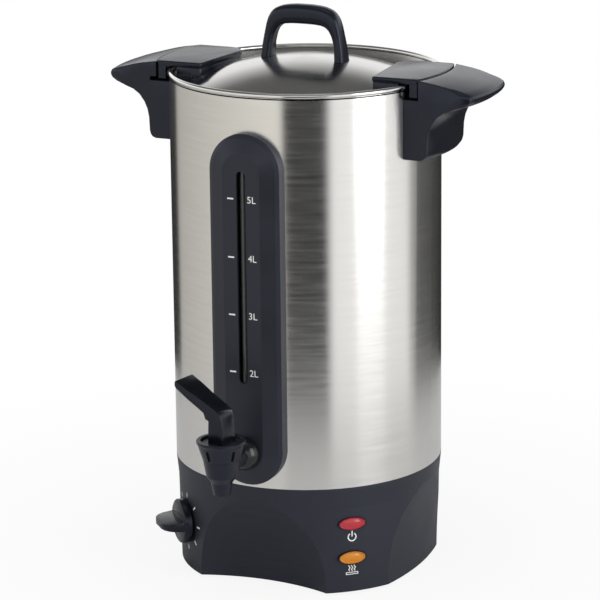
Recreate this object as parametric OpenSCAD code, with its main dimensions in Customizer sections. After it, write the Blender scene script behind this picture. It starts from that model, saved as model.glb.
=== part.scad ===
// Mulled wine urn: a single wall steel tank on a heated plastic base, with a sight gauge, a drip
// free tap, two side handles and a lid that lifts off and turns in the handles.
// Units are mm, +Z is up, the floor is z = 0 and the tank axis is x = y = 0. The tap faces -Y.

/* [Tank] */
// outer radius of the steel tank
tank_r = 91; // [80:0.5:105]
// wall thickness of the tank
tank_wall = 0.8; // [0.6:0.1:1.4]
// height of the tank's lower edge above the floor
base_h = 76; // [68:1:90]
// height of the rolled rim's top above the floor
rim_z = 342; // [320:1:370]
// radius of the rolled rim's section
bead_r = 1.7; // [1.4:0.1:2.2]

/* [Base] */
// radius of the base shell near the floor
foot_r = 88.7; // [84:0.1:90]
// wall thickness of the base shell
shell_wall = 2.6; // [2:0.1:3.4]
// height of the shell's lower edge above the floor
shell_lift = 2; // [1.5:0.5:4]
// height of the scooped arches
scoop_h = 65; // [56:1:66]
// plan radius of the deep front scoop at its foot
front_scoop_r = 130; // [124:1:134]
// distance of the front scoop's axis from the tank axis
front_scoop_d = 197; // [195:1:200]
// plan radius of a shallow side scoop at its foot
side_scoop_r = 212; // [210:0.5:214]
// radius of a rubber foot
rubber_r = 7.5; // [6:0.5:8]

/* [Controls] */
// height of the thermostat knob's axis
knob_z = 35; // [30:1:42]
// radius of the thermostat knob
knob_r = 15.25; // [12:0.25:17]
// thickness of the knob's grip bar
knob_bar_t = 8.6; // [6:0.2:10]
// height of the power lamp
lamp_red_z = 50.3; // [47:0.1:56]
// height of the heating lamp
lamp_amber_z = 26.4; // [20:0.1:30]
// width of a lamp bezel
lamp_w = 20; // [16:0.5:22]

/* [Gauge] */
// half width of the gauge panel at the tank
panel_hw = 24.8; // [23:0.2:28]
// lower end of the gauge panel
panel_z0 = 79; // [78:0.5:84]
// upper end of the gauge panel
panel_z1 = 315.6; // [300:0.2:318]
// distance of the panel's flat face from the tank axis
panel_face = 101.3; // [100:0.1:103]
// width of the sight slot
slot_w = 6.5; // [6.2:0.1:7.5]
// outer radius of the glass sight tube
glass_r = 2.6; // [2.3:0.1:2.7]

/* [Tap] */
// height of the tap shank's axis
shank_z = 102.5; // [101:0.5:103]
// radius of the tap shank
shank_r = 6; // [5.6:0.1:6.4]
// distance of the tap's upright axis from the tank axis
tap_d = 136; // [132:0.5:142]
// largest radius of the tap collar
collar_r = 16.15; // [15.5:0.05:18]
// height of the tap collar's top
collar_z1 = 122; // [121:0.5:123]
// bore radius of the nozzle
nozzle_bore = 4.4; // [3.5:0.1:4.6]
// length of the lever's paddle from the stem axis
paddle_len = 30; // [26:0.5:36]
// direction of the paddle about the tap's upright axis, from the front towards the left
paddle_turn = 100; // [80:5:110]

/* [Handles] */
// half width of a side handle
handle_hw = 33; // [29:0.5:36]
// reach of a side handle from the tank axis
handle_reach = 135.5; // [131:0.5:142]
// height of a side handle's lower edge
handle_z0 = 292.8; // [286:0.2:296]

/* [Lid] */
// radius of the lid disc
lid_r = 86.4; // [85:0.1:87]
// height of the dome's edge below the rim
lid_sink = 12; // [11:0.5:13]
// rise of the dome
dome_rise = 20; // [16:0.5:22]
// sheet thickness of the lid
lid_t = 0.9; // [0.8:0.1:1.4]
// outer radius of a lock wing
wing_r = 99.5; // [98.5:0.1:100]
// half width of a lock wing
wing_hw = 32; // [28:0.5:34]
// half span of the lid handle at its feet
grip_span = 31; // [28:0.5:34]
// height of the lid handle above the rim
grip_h = 42.7; // [36:0.1:48]

/* [Hidden] */
$fn = 96;
// clearance of pieces that are seated in each other
seat = 0.05;
// radial clearance of a shaft that turns or slides
run_fit = 0.06;
// gap between pieces that move past each other
gap = 0.35;
eps = 0.5;
steel = [0.80, 0.80, 0.81];
bright = [0.86, 0.86, 0.87];
plastic = [0.19, 0.20, 0.22];
rubber = [0.12, 0.12, 0.13];
brass = [0.72, 0.58, 0.32];
ceramic = [0.85, 0.84, 0.80];

// derived sizes of the tank
tank_in = tank_r - tank_wall;
floor_gap = 1.8;
tank_floor = base_h + floor_gap;
bead_c = tank_r - bead_r + 0.5 * tank_wall + 0.6;
bead_z = rim_z - bead_r;

// derived sizes of the base
mid_z = 61;
mid_r = foot_r + 1;
lip_z = base_h - 2;
deck_t = 2.5;
deck_hole = 74;
plate_z0 = 5;
plate_t = 2.2;
pad_turns = [45, 135, 225, 315];
boss_d = 77;
boss_r = 4.6;
post_h = 11.5;
screw_r = 1.75;
head_r = 3.5;
head_h = 2.2;

// derived sizes of the electrical pieces
heater_t = 5;
heater_r = 66;
heater_z1 = tank_floor;
heater_z0 = heater_z1 - heater_t;
element_r = 3.4;
element_ring = 46;
element_z = heater_z0 - element_r;
clamp_t = 2;
clamp_z1 = element_z - element_r;
stud_r = 2.5;
knob_turn = -45;
lamp_turn = 43;
pad_r = foot_r + (knob_z - shell_lift) / (mid_z - shell_lift);
knob_back = pad_r + 0.55;
knob_t = 5.8;
knob_reach = 14;
spindle_r = 3;
bush_r = 4.9;
stat_front = 76;
stat_depth = 18;
gland_z = 18;
gland_bore = 3.6;
gland_r = 6.1;
gland_flange = 9;

// derived sizes of the scoops: the plan radius eases from the foot to the arch's top
front_rise = front_scoop_d - mid_r - front_scoop_r;
side_d = 130;
side_rise = side_d + mid_r - side_scoop_r;
scoop_steps = 8;
function scoop_ease(t) = pow(max(0, t), 2.3);
function scoop_at(z, r, rise) = r + rise * scoop_ease(z / scoop_h);
// the side scoop's middle line at the gland, where its flange rests
gland_seat = scoop_at(gland_z + gland_flange, side_scoop_r, side_rise) - side_d;

// derived sizes of the gauge
panel_mid = panel_face - 4;
panel_face_hw = panel_hw - 10.7;
panel_mid_hw = panel_hw - 2.5;
slot_z0 = 149.7;
slot_z1 = 292;
glass_y = panel_face - 4.8;
cavity_y = panel_face - 1.9;
cavity_hw = 11;
seal_lo = [124, 136];
seal_hi = [293, 301.5];
port_r = 1.9;

// derived sizes of the tap
boss_dome_r = 11;
thread_r = 7.8;
cup_r = 10;
cup_z0 = 97.5;
step_z = 94;
nozzle_r0 = 7.2;
nozzle_r1 = 5.6;
nozzle_z0 = 85;
chamber_r = 7.4;
seat_z = 96;
neck_z1 = collar_z1 - 8.4;
collar_z0 = 109;
collar_r0 = collar_r - 4.05;
recess_r = collar_r - 2.9;
recess_z0 = collar_z1 - 7;
bearing_z1 = collar_z1 - 1.5;
stem_r = 3;
pin_z = collar_z1 + 9;
pin_r = 1.5;
pin_hl = 6.2;
eye_r = 3.4;
block_hl = 5.15;
block_hw = 8;
fork_hw = 3.4;
heel_z = bearing_z1 + 0.1;
paddle_hw = 9.35;
spring_r = 5.2;
spring_wire = 0.5;

// derived sizes of the handles and the lid
channel_r = wing_r + 0.8;
channel_z0 = rim_z - 9.6;
handle_in = tank_r + seat;
handle_corner = 11;
lip_turn = 8;
lip_depth = 4.4;
screw_turn = 11.5;
screw_zs = [299, 318];
edge_z = rim_z - lid_sink;
dome_sphere = (lid_r * lid_r + dome_rise * dome_rise) / (2 * dome_rise);
dome_c = edge_z + dome_rise - dome_sphere;
wing_top = rim_z + 4;
wing_low = rim_z + 0.3;
wing_skirt_r = lid_r - 0.4;
wing_wall = 3;
wing_in = 54;
wing_corner = 14;
tab_r0 = tank_r + 2.6;
tab_z0 = rim_z - 8.4;
hem_h = 4;
// outlines of the lid handle's arch: half span and depth below its top
grip_outer = [
    [grip_span - 1.4, 29], [grip_span - 2.8, 21], [grip_span - 4.4, 13.5], [grip_span - 6, 8.6],
    [grip_span - 8, 5.4], [grip_span - 10.8, 3.1], [grip_span - 15, 1.4],
    [grip_span - 20, 0.5], [grip_span - 26, 0.05]
];
grip_inner = [
    [grip_span - 8.4, 27], [grip_span - 10.2, 20.6], [grip_span - 12, 17.2], [grip_span - 14.4, 14.9],
    [grip_span - 17.6, 13.6], [grip_span - 23, 13.1]
];

// turns a piece drawn at the front to the stated direction about the tank axis
module aim(turn) {
    rotate([0, 0, turn])
        children();
}

// a rod along the outward direction at the front, from distance a to distance b
module rod_out(r, a, b, z) {
    translate([0, -a, z])
        rotate([90, 0, 0])
            cylinder(r = r, h = b - a);
}

// a flat rectangle with rounded corners
module round_rect(x0, x1, y0, y1, r) {
    translate([x0 + r, y0])
        square([x1 - x0 - 2 * r, y1 - y0]);
    translate([x0, y0 + r])
        square([x1 - x0, y1 - y0 - 2 * r]);
    for (x = [x0 + r, x1 - r])
        for (y = [y0 + r, y1 - r])
            translate([x, y])
                circle(r = r);
}

// a pan head screw that points up from z = 0, its head below
module screw_up(len) {
    translate([0, 0, -head_h])
        cylinder(r1 = head_r - 0.6, r2 = head_r, h = head_h);
    cylinder(r = screw_r, h = len);
}

// the solid form of the base, inset by the stated amount, with its four scoops
module base_form(inset, z_low, z_cut) {
    difference() {
        intersection() {
            rotate_extrude()
                polygon([
                    [0, z_low], [foot_r - inset, z_low], [mid_r - inset, mid_z],
                    [tank_r - inset, lip_z], [tank_r - inset, z_cut], [0, z_cut]
                ]);
            for_side_scoops(inset, z_low, z_cut);
        }
        translate([0, -front_scoop_d, 0])
            rotate_extrude()
                polygon(concat(
                    [[0, -1]],
                    [for (i = [0 : scoop_steps])
                        let (z = scoop_h * i / scoop_steps)
                        [scoop_at(z, front_scoop_r, front_rise) + inset, i == 0 ? -1 : z + inset]],
                    [[0, scoop_h + inset]]
                ));
    }
}

// the common volume of the three shallow scoops
module for_side_scoops(inset, z_low, z_cut) {
    intersection() {
        side_keep(90, inset, z_low, z_cut);
        side_keep(180, inset, z_low, z_cut);
        side_keep(270, inset, z_low, z_cut);
    }
}

// everything inside one shallow scoop's surface
module side_keep(turn, inset, z_low, z_cut) {
    aim(turn)
        translate([0, side_d, 0])
            rotate_extrude()
                polygon(concat(
                    [[0, z_low - 1]],
                    [for (i = [0 : scoop_steps])
                        let (z = scoop_h * i / scoop_steps)
                        [scoop_at(z, side_scoop_r, side_rise) - inset, i == 0 ? z_low - 1 : z + inset]],
                    [[side_d + tank_r + 4, scoop_h + inset + 3]],
                    [[side_d + tank_r + 4, z_cut + 1], [0, z_cut + 1]]
                ));
}

// a screw post in a pad, joined to the wall by a web
module screw_post() {
    translate([0, -boss_d, plate_z0 + plate_t])
        cylinder(r = boss_r, h = post_h);
    translate([-1.2, -mid_r, plate_z0 + plate_t])
        cube([2.4, mid_r - boss_d, post_h]);
}

// base shell: thin moulded wall that follows the scoops, with a deck under the tank and four
// screw posts in the pads
module base_shell() {
    color(plastic)
    difference() {
        union() {
            difference() {
                base_form(0, shell_lift, base_h);
                difference() {
                    base_form(shell_wall, -2, base_h - deck_t);
                    for (a = pad_turns)
                        aim(a)
                            screw_post();
                }
            }
        }
        translate([0, 0, base_h - deck_t - 1])
            cylinder(r = deck_hole, h = deck_t + 2);
        for (a = pad_turns)
            aim(a)
                translate([0, -boss_d, 0])
                    cylinder(r = screw_r + seat, h = plate_z0 + 16);
        aim(knob_turn)
            rod_out(bush_r + seat, foot_r - 8, foot_r + 6, knob_z);
        aim(lamp_turn)
            for (z = [lamp_red_z, lamp_amber_z])
                lamp_oval(lamp_w - 1.9, foot_r - 8, foot_r + 6, z);
        aim(180)
            rod_out(gland_r + seat, foot_r - 16, foot_r + 6, gland_z);
    }
}

// base plate: closes the base from below, with rows of vent slots
module base_plate() {
    color(plastic)
    difference() {
        intersection() {
            base_form(shell_wall + gap, -2, base_h - deck_t);
            translate([0, 0, plate_z0])
                cylinder(r = tank_r, h = plate_t);
        }
        for (a = pad_turns)
            aim(a)
                translate([0, -boss_d, 0])
                    cylinder(r = screw_r + seat, h = plate_z0 + 16);
        for (y = [-30 : 12 : 42])
            translate([-26, y, 0])
                linear_extrude(plate_z0 + plate_t + 1)
                    round_rect(0, 52, -2, 2, 1.9);
    }
}

// four rubber feet round the base screws
module rubber_feet() {
    color(rubber)
    for (a = pad_turns)
        aim(a)
            translate([0, -boss_d, 0])
                difference() {
                    union() {
                        cylinder(r1 = rubber_r - 0.8, r2 = rubber_r, h = 1.2);
                        translate([0, 0, 1.2])
                            cylinder(r = rubber_r, h = plate_z0 - 1.2);
                    }
                    translate([0, 0, -1])
                        cylinder(r = head_r + 0.3, h = plate_z0 + 2);
                }
}

// four screws that hold the base plate
module base_screws() {
    color(steel)
    for (a = pad_turns)
        aim(a)
            translate([0, -boss_d, plate_z0])
                screw_up(13);
}

// tank: drawn cup with a raised floor and a rolled rim
module tank() {
    color(steel)
    difference() {
        rotate_extrude() {
            difference() {
                translate([0, base_h])
                    square([tank_r, bead_z - base_h]);
                translate([-1, tank_floor + tank_wall])
                    square([tank_in + 1, rim_z]);
                translate([-1, base_h - 1])
                    square([tank_in + 1, floor_gap + 1]);
            }
            translate([bead_c, bead_z])
                circle(r = bead_r, $fn = 32);
        }
        rod_out(thread_r + seat, tank_r - 6, tank_r + 6, shank_z);
        for (z = [(seal_lo[0] + seal_lo[1]) / 2, (seal_hi[0] + seal_hi[1]) / 2])
            rod_out(port_r + seat, tank_r - 6, tank_r + 6, z);
        for (side = [90, 270])
            for (a = [-screw_turn, screw_turn])
                for (z = screw_zs)
                    aim(side + a)
                        rod_out(screw_r + seat, tank_r - 6, tank_r + 6, z);
    }
}

// heater plate: aluminium disc under the tank floor with a groove for the element
module heater_plate() {
    color(steel)
    difference() {
        translate([0, 0, heater_z0])
            cylinder(r = heater_r, h = heater_t);
        rotate_extrude()
            translate([element_ring, element_z])
                circle(r = element_r + 1.2, $fn = 48);
    }
}

// tubular heating element with its two cold ends
module heating_element() {
    color([0.35, 0.33, 0.32])
    union() {
        rotate([0, 0, 15])
            rotate_extrude(angle = 330)
                translate([element_ring, element_z])
                    circle(r = element_r, $fn = 32);
        for (a = [15, -15])
            rotate([0, 0, a])
                translate([element_ring, 0, element_z - 16])
                    cylinder(r = element_r, h = 16);
    }
}

// clamp strap that presses the element against its plate
module heater_clamp() {
    color(bright)
    difference() {
        union() {
            translate([-58, -9, clamp_z1 - clamp_t])
                cube([116, 18, clamp_t]);
            translate([0, 0, clamp_z1])
                cylinder(r = 8, h = heater_z0 - clamp_z1);
        }
        translate([35, -20, clamp_z1 - 20])
            cube([30, 40, 30]);
    }
}

// thermostat housing with its bush through the shell
module thermostat_body() {
    color(ceramic)
    aim(knob_turn)
        difference() {
            union() {
                translate([-15, -stat_front, knob_z - 13])
                    cube([30, stat_depth, 26]);
                rod_out(bush_r, stat_front - 1, pad_r - 1, knob_z);
                for (x = [-10, 10])
                    translate([x - 2.4, -stat_front + stat_depth - 0.5, knob_z - 6])
                        cube([4.8, 8, 0.9]);
            }
            rod_out(spindle_r + run_fit, stat_front - 12, pad_r + 6, knob_z);
        }
}

// flatted spindle that turns with the knob
module thermostat_spindle() {
    color(brass)
    aim(knob_turn)
        difference() {
            rod_out(spindle_r, stat_front - 11.5, knob_back + 11, knob_z);
            translate([-spindle_r, -knob_back - 12, knob_z + 1.4])
                cube([2 * spindle_r, 12, 3]);
        }
}

// thermostat knob: disc with a deep grip bar across it
module thermostat_knob() {
    color(plastic)
    aim(knob_turn)
        difference() {
            union() {
                translate([0, -knob_back, knob_z])
                    rotate([90, 0, 0])
                        rotate_extrude()
                            polygon([
                                [0, 0], [knob_r - 0.5, 0], [knob_r, 0.6],
                                [knob_r, knob_t - 1.2], [knob_r - 1.2, knob_t], [0, knob_t]
                            ]);
                intersection() {
                    translate([0, -knob_back, knob_z])
                        rotate([90, 0, 0])
                            rotate_extrude()
                                polygon([
                                    [0, knob_t - 1], [knob_r - 1.2, knob_t - 1],
                                    [knob_r - 1.4, knob_t + 7], [knob_r - 3, knob_t + 11],
                                    [knob_r - 6.5, knob_t + 13.4], [knob_r - 9, knob_t + knob_reach],
                                    [0, knob_t + knob_reach]
                                ]);
                    translate([-knob_r, -knob_back, knob_z])
                        rotate([90, 0, 90])
                            linear_extrude(2 * knob_r)
                                polygon([
                                    [0, -knob_bar_t / 2], [0, knob_bar_t / 2],
                                    [-knob_t - 11.5, knob_bar_t / 2 - 0.6],
                                    [-knob_t - knob_reach, knob_bar_t / 2 - 2.4],
                                    [-knob_t - knob_reach, -knob_bar_t / 2 + 2.4],
                                    [-knob_t - 11.5, -knob_bar_t / 2 + 0.6]
                                ]);
                }
            }
            difference() {
                rod_out(spindle_r + seat, knob_back - 1, knob_back + 11.2, knob_z);
                translate([-spindle_r - 1, -knob_back - 12, knob_z + 1.4 + seat])
                    cube([2 * spindle_r + 2, 12.5, 3]);
            }
        }
}

// thermal cutout under the heater plate
module thermal_cutout() {
    color(ceramic)
    translate([0, 26, 0])
        union() {
            translate([0, 0, heater_z0 - 6])
                cylinder(r = 8, h = 6);
            for (x = [-5, 5])
                translate([x - 2.4, -0.4, heater_z0 - 14])
                    cube([4.8, 0.8, 9]);
        }
}

// ceramic terminal block on the base plate
module terminal_block() {
    color(ceramic)
    translate([0, 56, plate_z0 + plate_t])
        difference() {
            translate([-18, -7, 0])
                cube([36, 12, 13]);
            for (x = [-12, 0, 12]) {
                translate([x, -12, 5])
                    rotate([-90, 0, 0])
                        cylinder(r = 2, h = 24);
                translate([x, -1, 6])
                    cylinder(r = 1.8, h = 10);
            }
        }
}

// cord gland at the back, left empty
module cord_gland() {
    color(plastic)
    aim(180)
        difference() {
            union() {
                rod_out(gland_r, gland_seat - 12, gland_seat + 1, gland_z);
                translate([0, -gland_seat - seat, gland_z])
                    rotate([90, 0, 0])
                        rotate_extrude()
                            polygon([
                                [0, 0], [gland_flange, 0], [gland_flange, 2],
                                [gland_r + 1, 3.4], [gland_bore + 1.6, 9], [0, 9]
                            ]);
            }
            rod_out(gland_bore, gland_seat - 14, gland_seat + 12, gland_z);
        }
}

// nut of the cord gland, inside the shell
module gland_nut() {
    color(plastic)
    aim(180)
        difference() {
            translate([0, -gland_seat + shell_wall + 6.8, gland_z])
                rotate([90, 0, 0])
                    cylinder(r = 9.2, h = 5, $fn = 6);
            rod_out(gland_r + seat, gland_seat - 20, gland_seat + 12, gland_z);
        }
}

// an upright oval prism along the outward direction
module lamp_oval(w, a, b, z) {
    translate([0, -a, z])
        rotate([90, 0, 0])
            linear_extrude(b - a)
                scale([1, 0.46])
                    circle(r = w / 2, $fn = 64);
}

// one lamp lens: low ribbed cap in its bezel
module lamp_lens(z, tint) {
    color(tint)
    aim(lamp_turn)
        difference() {
            union() {
                lamp_oval(lamp_w - 3.4, foot_r - 5, foot_r + 1.5, z);
                lamp_oval(lamp_w - 6.4, foot_r + 1.4, foot_r + 2.3, z);
            }
            for (x = [-6 : 1.5 : 6])
                translate([x, -foot_r - 2.4, z - lamp_w])
                    rotate([0, 0, 45])
                        translate([-0.35, -0.35, 0])
                            cube([0.7, 0.7, 2 * lamp_w]);
        }
}

// red power lamp
module lamp_red() {
    lamp_lens(lamp_red_z, [0.85, 0.12, 0.16]);
}

// amber heating lamp
module lamp_amber() {
    lamp_lens(lamp_amber_z, [0.95, 0.62, 0.10]);
}

// dark rims round both lamps
module lamp_bezels() {
    color(plastic)
    aim(lamp_turn)
        for (z = [lamp_red_z, lamp_amber_z])
            difference() {
                union() {
                    lamp_oval(lamp_w - 2, foot_r - 5, foot_r + 1, z);
                    lamp_oval(lamp_w, foot_r + 0.9, foot_r + 1.9, z);
                }
                lamp_oval(lamp_w - 3.4 + 2 * seat, foot_r - 6, foot_r + 3, z);
            }
}

// lamp holders behind the shell
module lamp_holders() {
    color(ceramic)
    aim(lamp_turn)
        for (z = [lamp_red_z, lamp_amber_z])
            union() {
                translate([-9, -foot_r + 5, z - 5])
                    cube([18, 9, 10]);
                for (x = [-5, 5])
                    translate([x - 0.4, -foot_r + 13.5, z - 2.4])
                        cube([0.8, 7, 4.8]);
            }
}

// the panel's outer form: two turned ends and a straight middle
module panel_form() {
    for (z = [panel_z0 + panel_hw, panel_z1 - panel_hw])
        translate([0, 0, z])
            rotate([90, 0, 0])
                rotate_extrude()
                    polygon([
                        [0, tank_r - 14], [panel_hw, tank_r - 14], [panel_hw, panel_mid - 1.6],
                        [panel_mid_hw, panel_mid], [panel_face_hw, panel_face - 0.4],
                        [panel_face_hw - 1, panel_face], [0, panel_face]
                    ]);
    translate([0, 0, panel_z0 + panel_hw])
        linear_extrude(panel_z1 - panel_z0 - 2 * panel_hw)
            polygon([
                [-panel_hw, 14 - tank_r], [-panel_hw, 1.6 - panel_mid],
                [-panel_mid_hw, -panel_mid], [-panel_face_hw, 0.4 - panel_face],
                [1 - panel_face_hw, -panel_face], [panel_face_hw - 1, -panel_face],
                [panel_face_hw, 0.4 - panel_face], [panel_mid_hw, -panel_mid],
                [panel_hw, 1.6 - panel_mid], [panel_hw, 14 - tank_r]
            ]);
}

// gauge panel: long pill shaped cover with a bevelled face and the sight slot
module gauge_panel() {
    color(plastic)
    difference() {
        panel_form();
        translate([0, 0, panel_z0 - 5])
            cylinder(r = tank_r + seat, h = panel_z1 - panel_z0 + 10);
        translate([-cavity_hw, -cavity_y, seal_lo[0] - 1])
            cube([2 * cavity_hw, cavity_y - tank_r + 8, seal_hi[1] - seal_lo[0] + 1.4]);
        translate([0, -panel_face - 1, 0])
            rotate([-90, 0, 0])
                translate([0, 0, 0])
                    linear_extrude(6)
                        round_rect(-slot_w / 2, slot_w / 2, -slot_z1, -slot_z0, slot_w / 2 - 0.01);
        rod_out(thread_r + seat, tank_r - 12, panel_face + 2, shank_z);
    }
}

// glass sight tube
module sight_tube() {
    color([0.85, 0.92, 0.93, 0.4])
    translate([0, -glass_y, seal_lo[0] + 3])
        difference() {
            cylinder(r = glass_r, h = seal_hi[1] - seal_lo[0] - 6);
            translate([0, 0, -1])
                cylinder(r = glass_r - 0.8, h = seal_hi[1] - seal_lo[0]);
        }
}

// rubber end seals of the sight tube with their ports into the tank
module tube_seals() {
    color(rubber)
    for (s = [seal_lo, seal_hi])
        difference() {
            union() {
                difference() {
                    translate([-9, -cavity_y + 0.1, s[0]])
                        cube([18, cavity_y - tank_r + 1.9, s[1] - s[0]]);
                    translate([0, 0, s[0] - 1])
                        cylinder(r = tank_r + seat, h = s[1] - s[0] + 2);
                }
                rod_out(port_r, tank_r - 2.4, tank_r + 1, (s[0] + s[1]) / 2);
            }
            translate([0, -glass_y, s == seal_lo ? s[0] + 3 - seat : s[0] - 1])
                cylinder(r = glass_r + seat, h = s[1] - s[0] - 2 + seat);
            rod_out(port_r - 0.8, tank_r - 4, glass_y, (s[0] + s[1]) / 2);
        }
}

// tap body: shank, domed boss, cup with a valve seat and tapered nozzle
module tap_body() {
    color(plastic)
    difference() {
        union() {
            rod_out(thread_r, tank_r - 11, panel_face + 1, shank_z);
            translate([0, -panel_face - seat, shank_z])
                rotate([90, 0, 0])
                    rotate_extrude()
                        polygon([
                            [0, 0], [boss_dome_r, 0], [boss_dome_r, 1.4], [boss_dome_r - 0.9, 3.1],
                            [boss_dome_r - 2.6, 4.4], [shank_r, 5.2], [0, 5.2]
                        ]);
            rod_out(shank_r, panel_face + 3, tap_d, shank_z);
            translate([0, -tap_d, 0])
                rotate_extrude()
                    polygon([
                        [0, nozzle_z0], [nozzle_r1, nozzle_z0], [nozzle_r0, step_z - 0.6],
                        [nozzle_r0 + 0.4, step_z], [cup_r, cup_z0], [collar_r0 - 0.1, collar_z0 - 0.1],
                        [cup_r, collar_z0 - 0.1], [cup_r, neck_z1], [0, neck_z1]
                    ]);
        }
        translate([0, -tap_d, nozzle_z0 - 1])
            cylinder(r = nozzle_bore, h = 20);
        translate([0, -tap_d, seat_z])
            cylinder(r = chamber_r, h = 40);
        rod_out(4, tank_r - 12, tap_d - 2, shank_z);
    }
}

// tap collar: tapered ring with an open recess and grip slots
module tap_collar() {
    color(plastic)
    translate([0, -tap_d, 0])
        difference() {
            rotate_extrude()
                polygon([
                    [cup_r + seat, collar_z0], [collar_r0, collar_z0],
                    [collar_r - 0.6, collar_z1 - 2.4], [collar_r, collar_z1 - 1.6],
                    [collar_r, collar_z1 - 0.4], [collar_r - 0.4, collar_z1],
                    [recess_r, collar_z1], [recess_r, recess_z0],
                    [chamber_r, recess_z0], [chamber_r, neck_z1 + seat], [cup_r + seat, neck_z1 + seat]
                ]);
            for (i = [0 : 4])
                rotate([0, 0, 72 * i - 12])
                    translate([-0.8, -collar_r - 0.4, collar_z0 + 0.8])
                        cube([1.6, 2.9, 6.4]);
        }
}

// nut that holds the tap inside the tank
module tap_nut() {
    color(steel)
    difference() {
        translate([0, -tank_r + 10.2, shank_z])
            rotate([90, 0, 0])
                cylinder(r = 14, h = 5.5, $fn = 6);
        rod_out(thread_r + seat, tank_r - 30, tank_r, shank_z);
    }
}

// rubber washer between the tap's nut and the tank wall
module tap_washers() {
    color(rubber)
    difference() {
        intersection() {
            rod_out(12.5, tank_r - 4.6, tank_r, shank_z);
            translate([0, 0, shank_z - 20])
                cylinder(r = tank_in - seat, h = 40);
        }
        rod_out(thread_r + seat, tank_r - 30, tank_r, shank_z);
    }
}

// bearing ring in the collar: the lever turns with it and lifts against it
module tap_bearing() {
    color(plastic)
    translate([0, -tap_d, 0])
        difference() {
            union() {
                translate([0, 0, recess_z0 + 0.1])
                    cylinder(r = recess_r - gap, h = bearing_z1 - recess_z0 - 0.1);
                translate([0, 0, neck_z1 - 3])
                    cylinder(r = chamber_r - gap, h = recess_z0 - neck_z1 + 3.2);
            }
            translate([0, 0, neck_z1 - 10])
                cylinder(r = stem_r + run_fit, h = 40);
        }
}

// valve stem with a round eye for the lever's pin
module tap_stem() {
    color(bright)
    translate([0, -tap_d, 0])
        aim(-paddle_turn)
            difference() {
                union() {
                    translate([0, 0, seat_z + 2.2])
                        cylinder(r = stem_r, h = pin_z - seat_z - 2.2);
                    translate([0, 0, seat_z + 2.2])
                        cylinder(r = chamber_r - 0.8, h = 1.4);
                    intersection() {
                        translate([-3, 0, pin_z])
                            rotate([0, 90, 0])
                                cylinder(r = eye_r, h = 6);
                        translate([0, 0, pin_z - 10])
                            cylinder(r = eye_r, h = 20);
                    }
                }
                translate([-10, 0, pin_z])
                    rotate([0, 90, 0])
                        cylinder(r = pin_r + seat, h = 20);
            }
}

// rubber plug that closes the nozzle
module tap_seat() {
    color(rubber)
    translate([0, -tap_d, 0])
        rotate_extrude()
            polygon([
                [0, seat_z - 1.6], [nozzle_bore - 0.9, seat_z - 1.6], [nozzle_bore - 0.4, seat_z],
                [nozzle_bore - 0.4, seat_z + 0.1], [chamber_r - 0.9, seat_z + 0.1],
                [chamber_r - 0.9, seat_z + 2.2], [0, seat_z + 2.2]
            ]);
}

// closing spring between the stem's flange and the bearing ring
module tap_spring() {
    spring_z0 = seat_z + 3.6 + spring_wire;
    spring_z1 = neck_z1 - 3 - spring_wire;
    turns = 5;
    per_turn = 20;
    sides = 8;
    n = turns * per_turn;
    pts = [for (i = [0 : n]) let (a = 360 * i / per_turn, z = spring_z0 + (spring_z1 - spring_z0) * i / n)
            for (j = [0 : sides - 1]) let (b = 360 * j / sides, rr = spring_r + spring_wire * cos(b))
                [rr * cos(a), rr * sin(a), z + spring_wire * sin(b)]];
    side_faces = [for (i = [0 : n - 1]) for (j = [0 : sides - 1])
            let (k = (j + 1) % sides)
            for (t = [0, 1])
                t == 0 ? [i * sides + j, (i + 1) * sides + j, (i + 1) * sides + k]
                    : [i * sides + j, (i + 1) * sides + k, i * sides + k]];
    cap0 = [[for (j = [0 : sides - 1]) j]];
    cap1 = [[for (j = [0 : sides - 1]) n * sides + sides - 1 - j]];
    color(steel)
    translate([0, -tap_d, 0])
        polyhedron(points = pts, faces = concat(side_faces, cap0, cap1));
}

// pin of the lever
module lever_pin() {
    color(steel)
    translate([0, -tap_d, pin_z])
        aim(-paddle_turn)
            translate([-pin_hl, 0, 0])
                rotate([0, 90, 0])
                    cylinder(r = pin_r, h = 2 * pin_hl);
}

// side outline of the lever: s runs along the paddle, h is the height
module lever_side() {
    tip_z = pin_z + 27;
    notch_z = pin_z + 4.6;
    bend_z = pin_z + 12.2;
    difference() {
        union() {
            polygon([
                [-block_hl, heel_z], [block_hl, heel_z], [block_hl - 0.5, notch_z],
                [block_hl + 1.8, notch_z + 0.9], [block_hl + 3.2, notch_z + 4.9],
                [paddle_len, tip_z - 2.8], [paddle_len - 1.5, tip_z + 0.2],
                [-1, bend_z], [-3, bend_z - 1.2], [-4.2, bend_z - 3.2], [-4.7, notch_z]
            ]);
            translate([paddle_len - 0.9, tip_z - 1.3])
                circle(r = 1.7, $fn = 32);
        }
    }
}

// plan outline of the lever, seen from above with the paddle along -Y
module lever_plan() {
    polygon([
        [-block_hw, block_hl + 1], [-block_hw, -block_hl], [-block_hw - 0.2, -12],
        [-paddle_hw, -20], [-paddle_hw, 5 - paddle_len], [paddle_hw, 5 - paddle_len],
        [paddle_hw, -20], [block_hw + 0.2, -12], [block_hw, -block_hl], [block_hw, block_hl + 1]
    ]);
    round_rect(-paddle_hw, paddle_hw, -paddle_len - 1.2, -14, 5);
}

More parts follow.
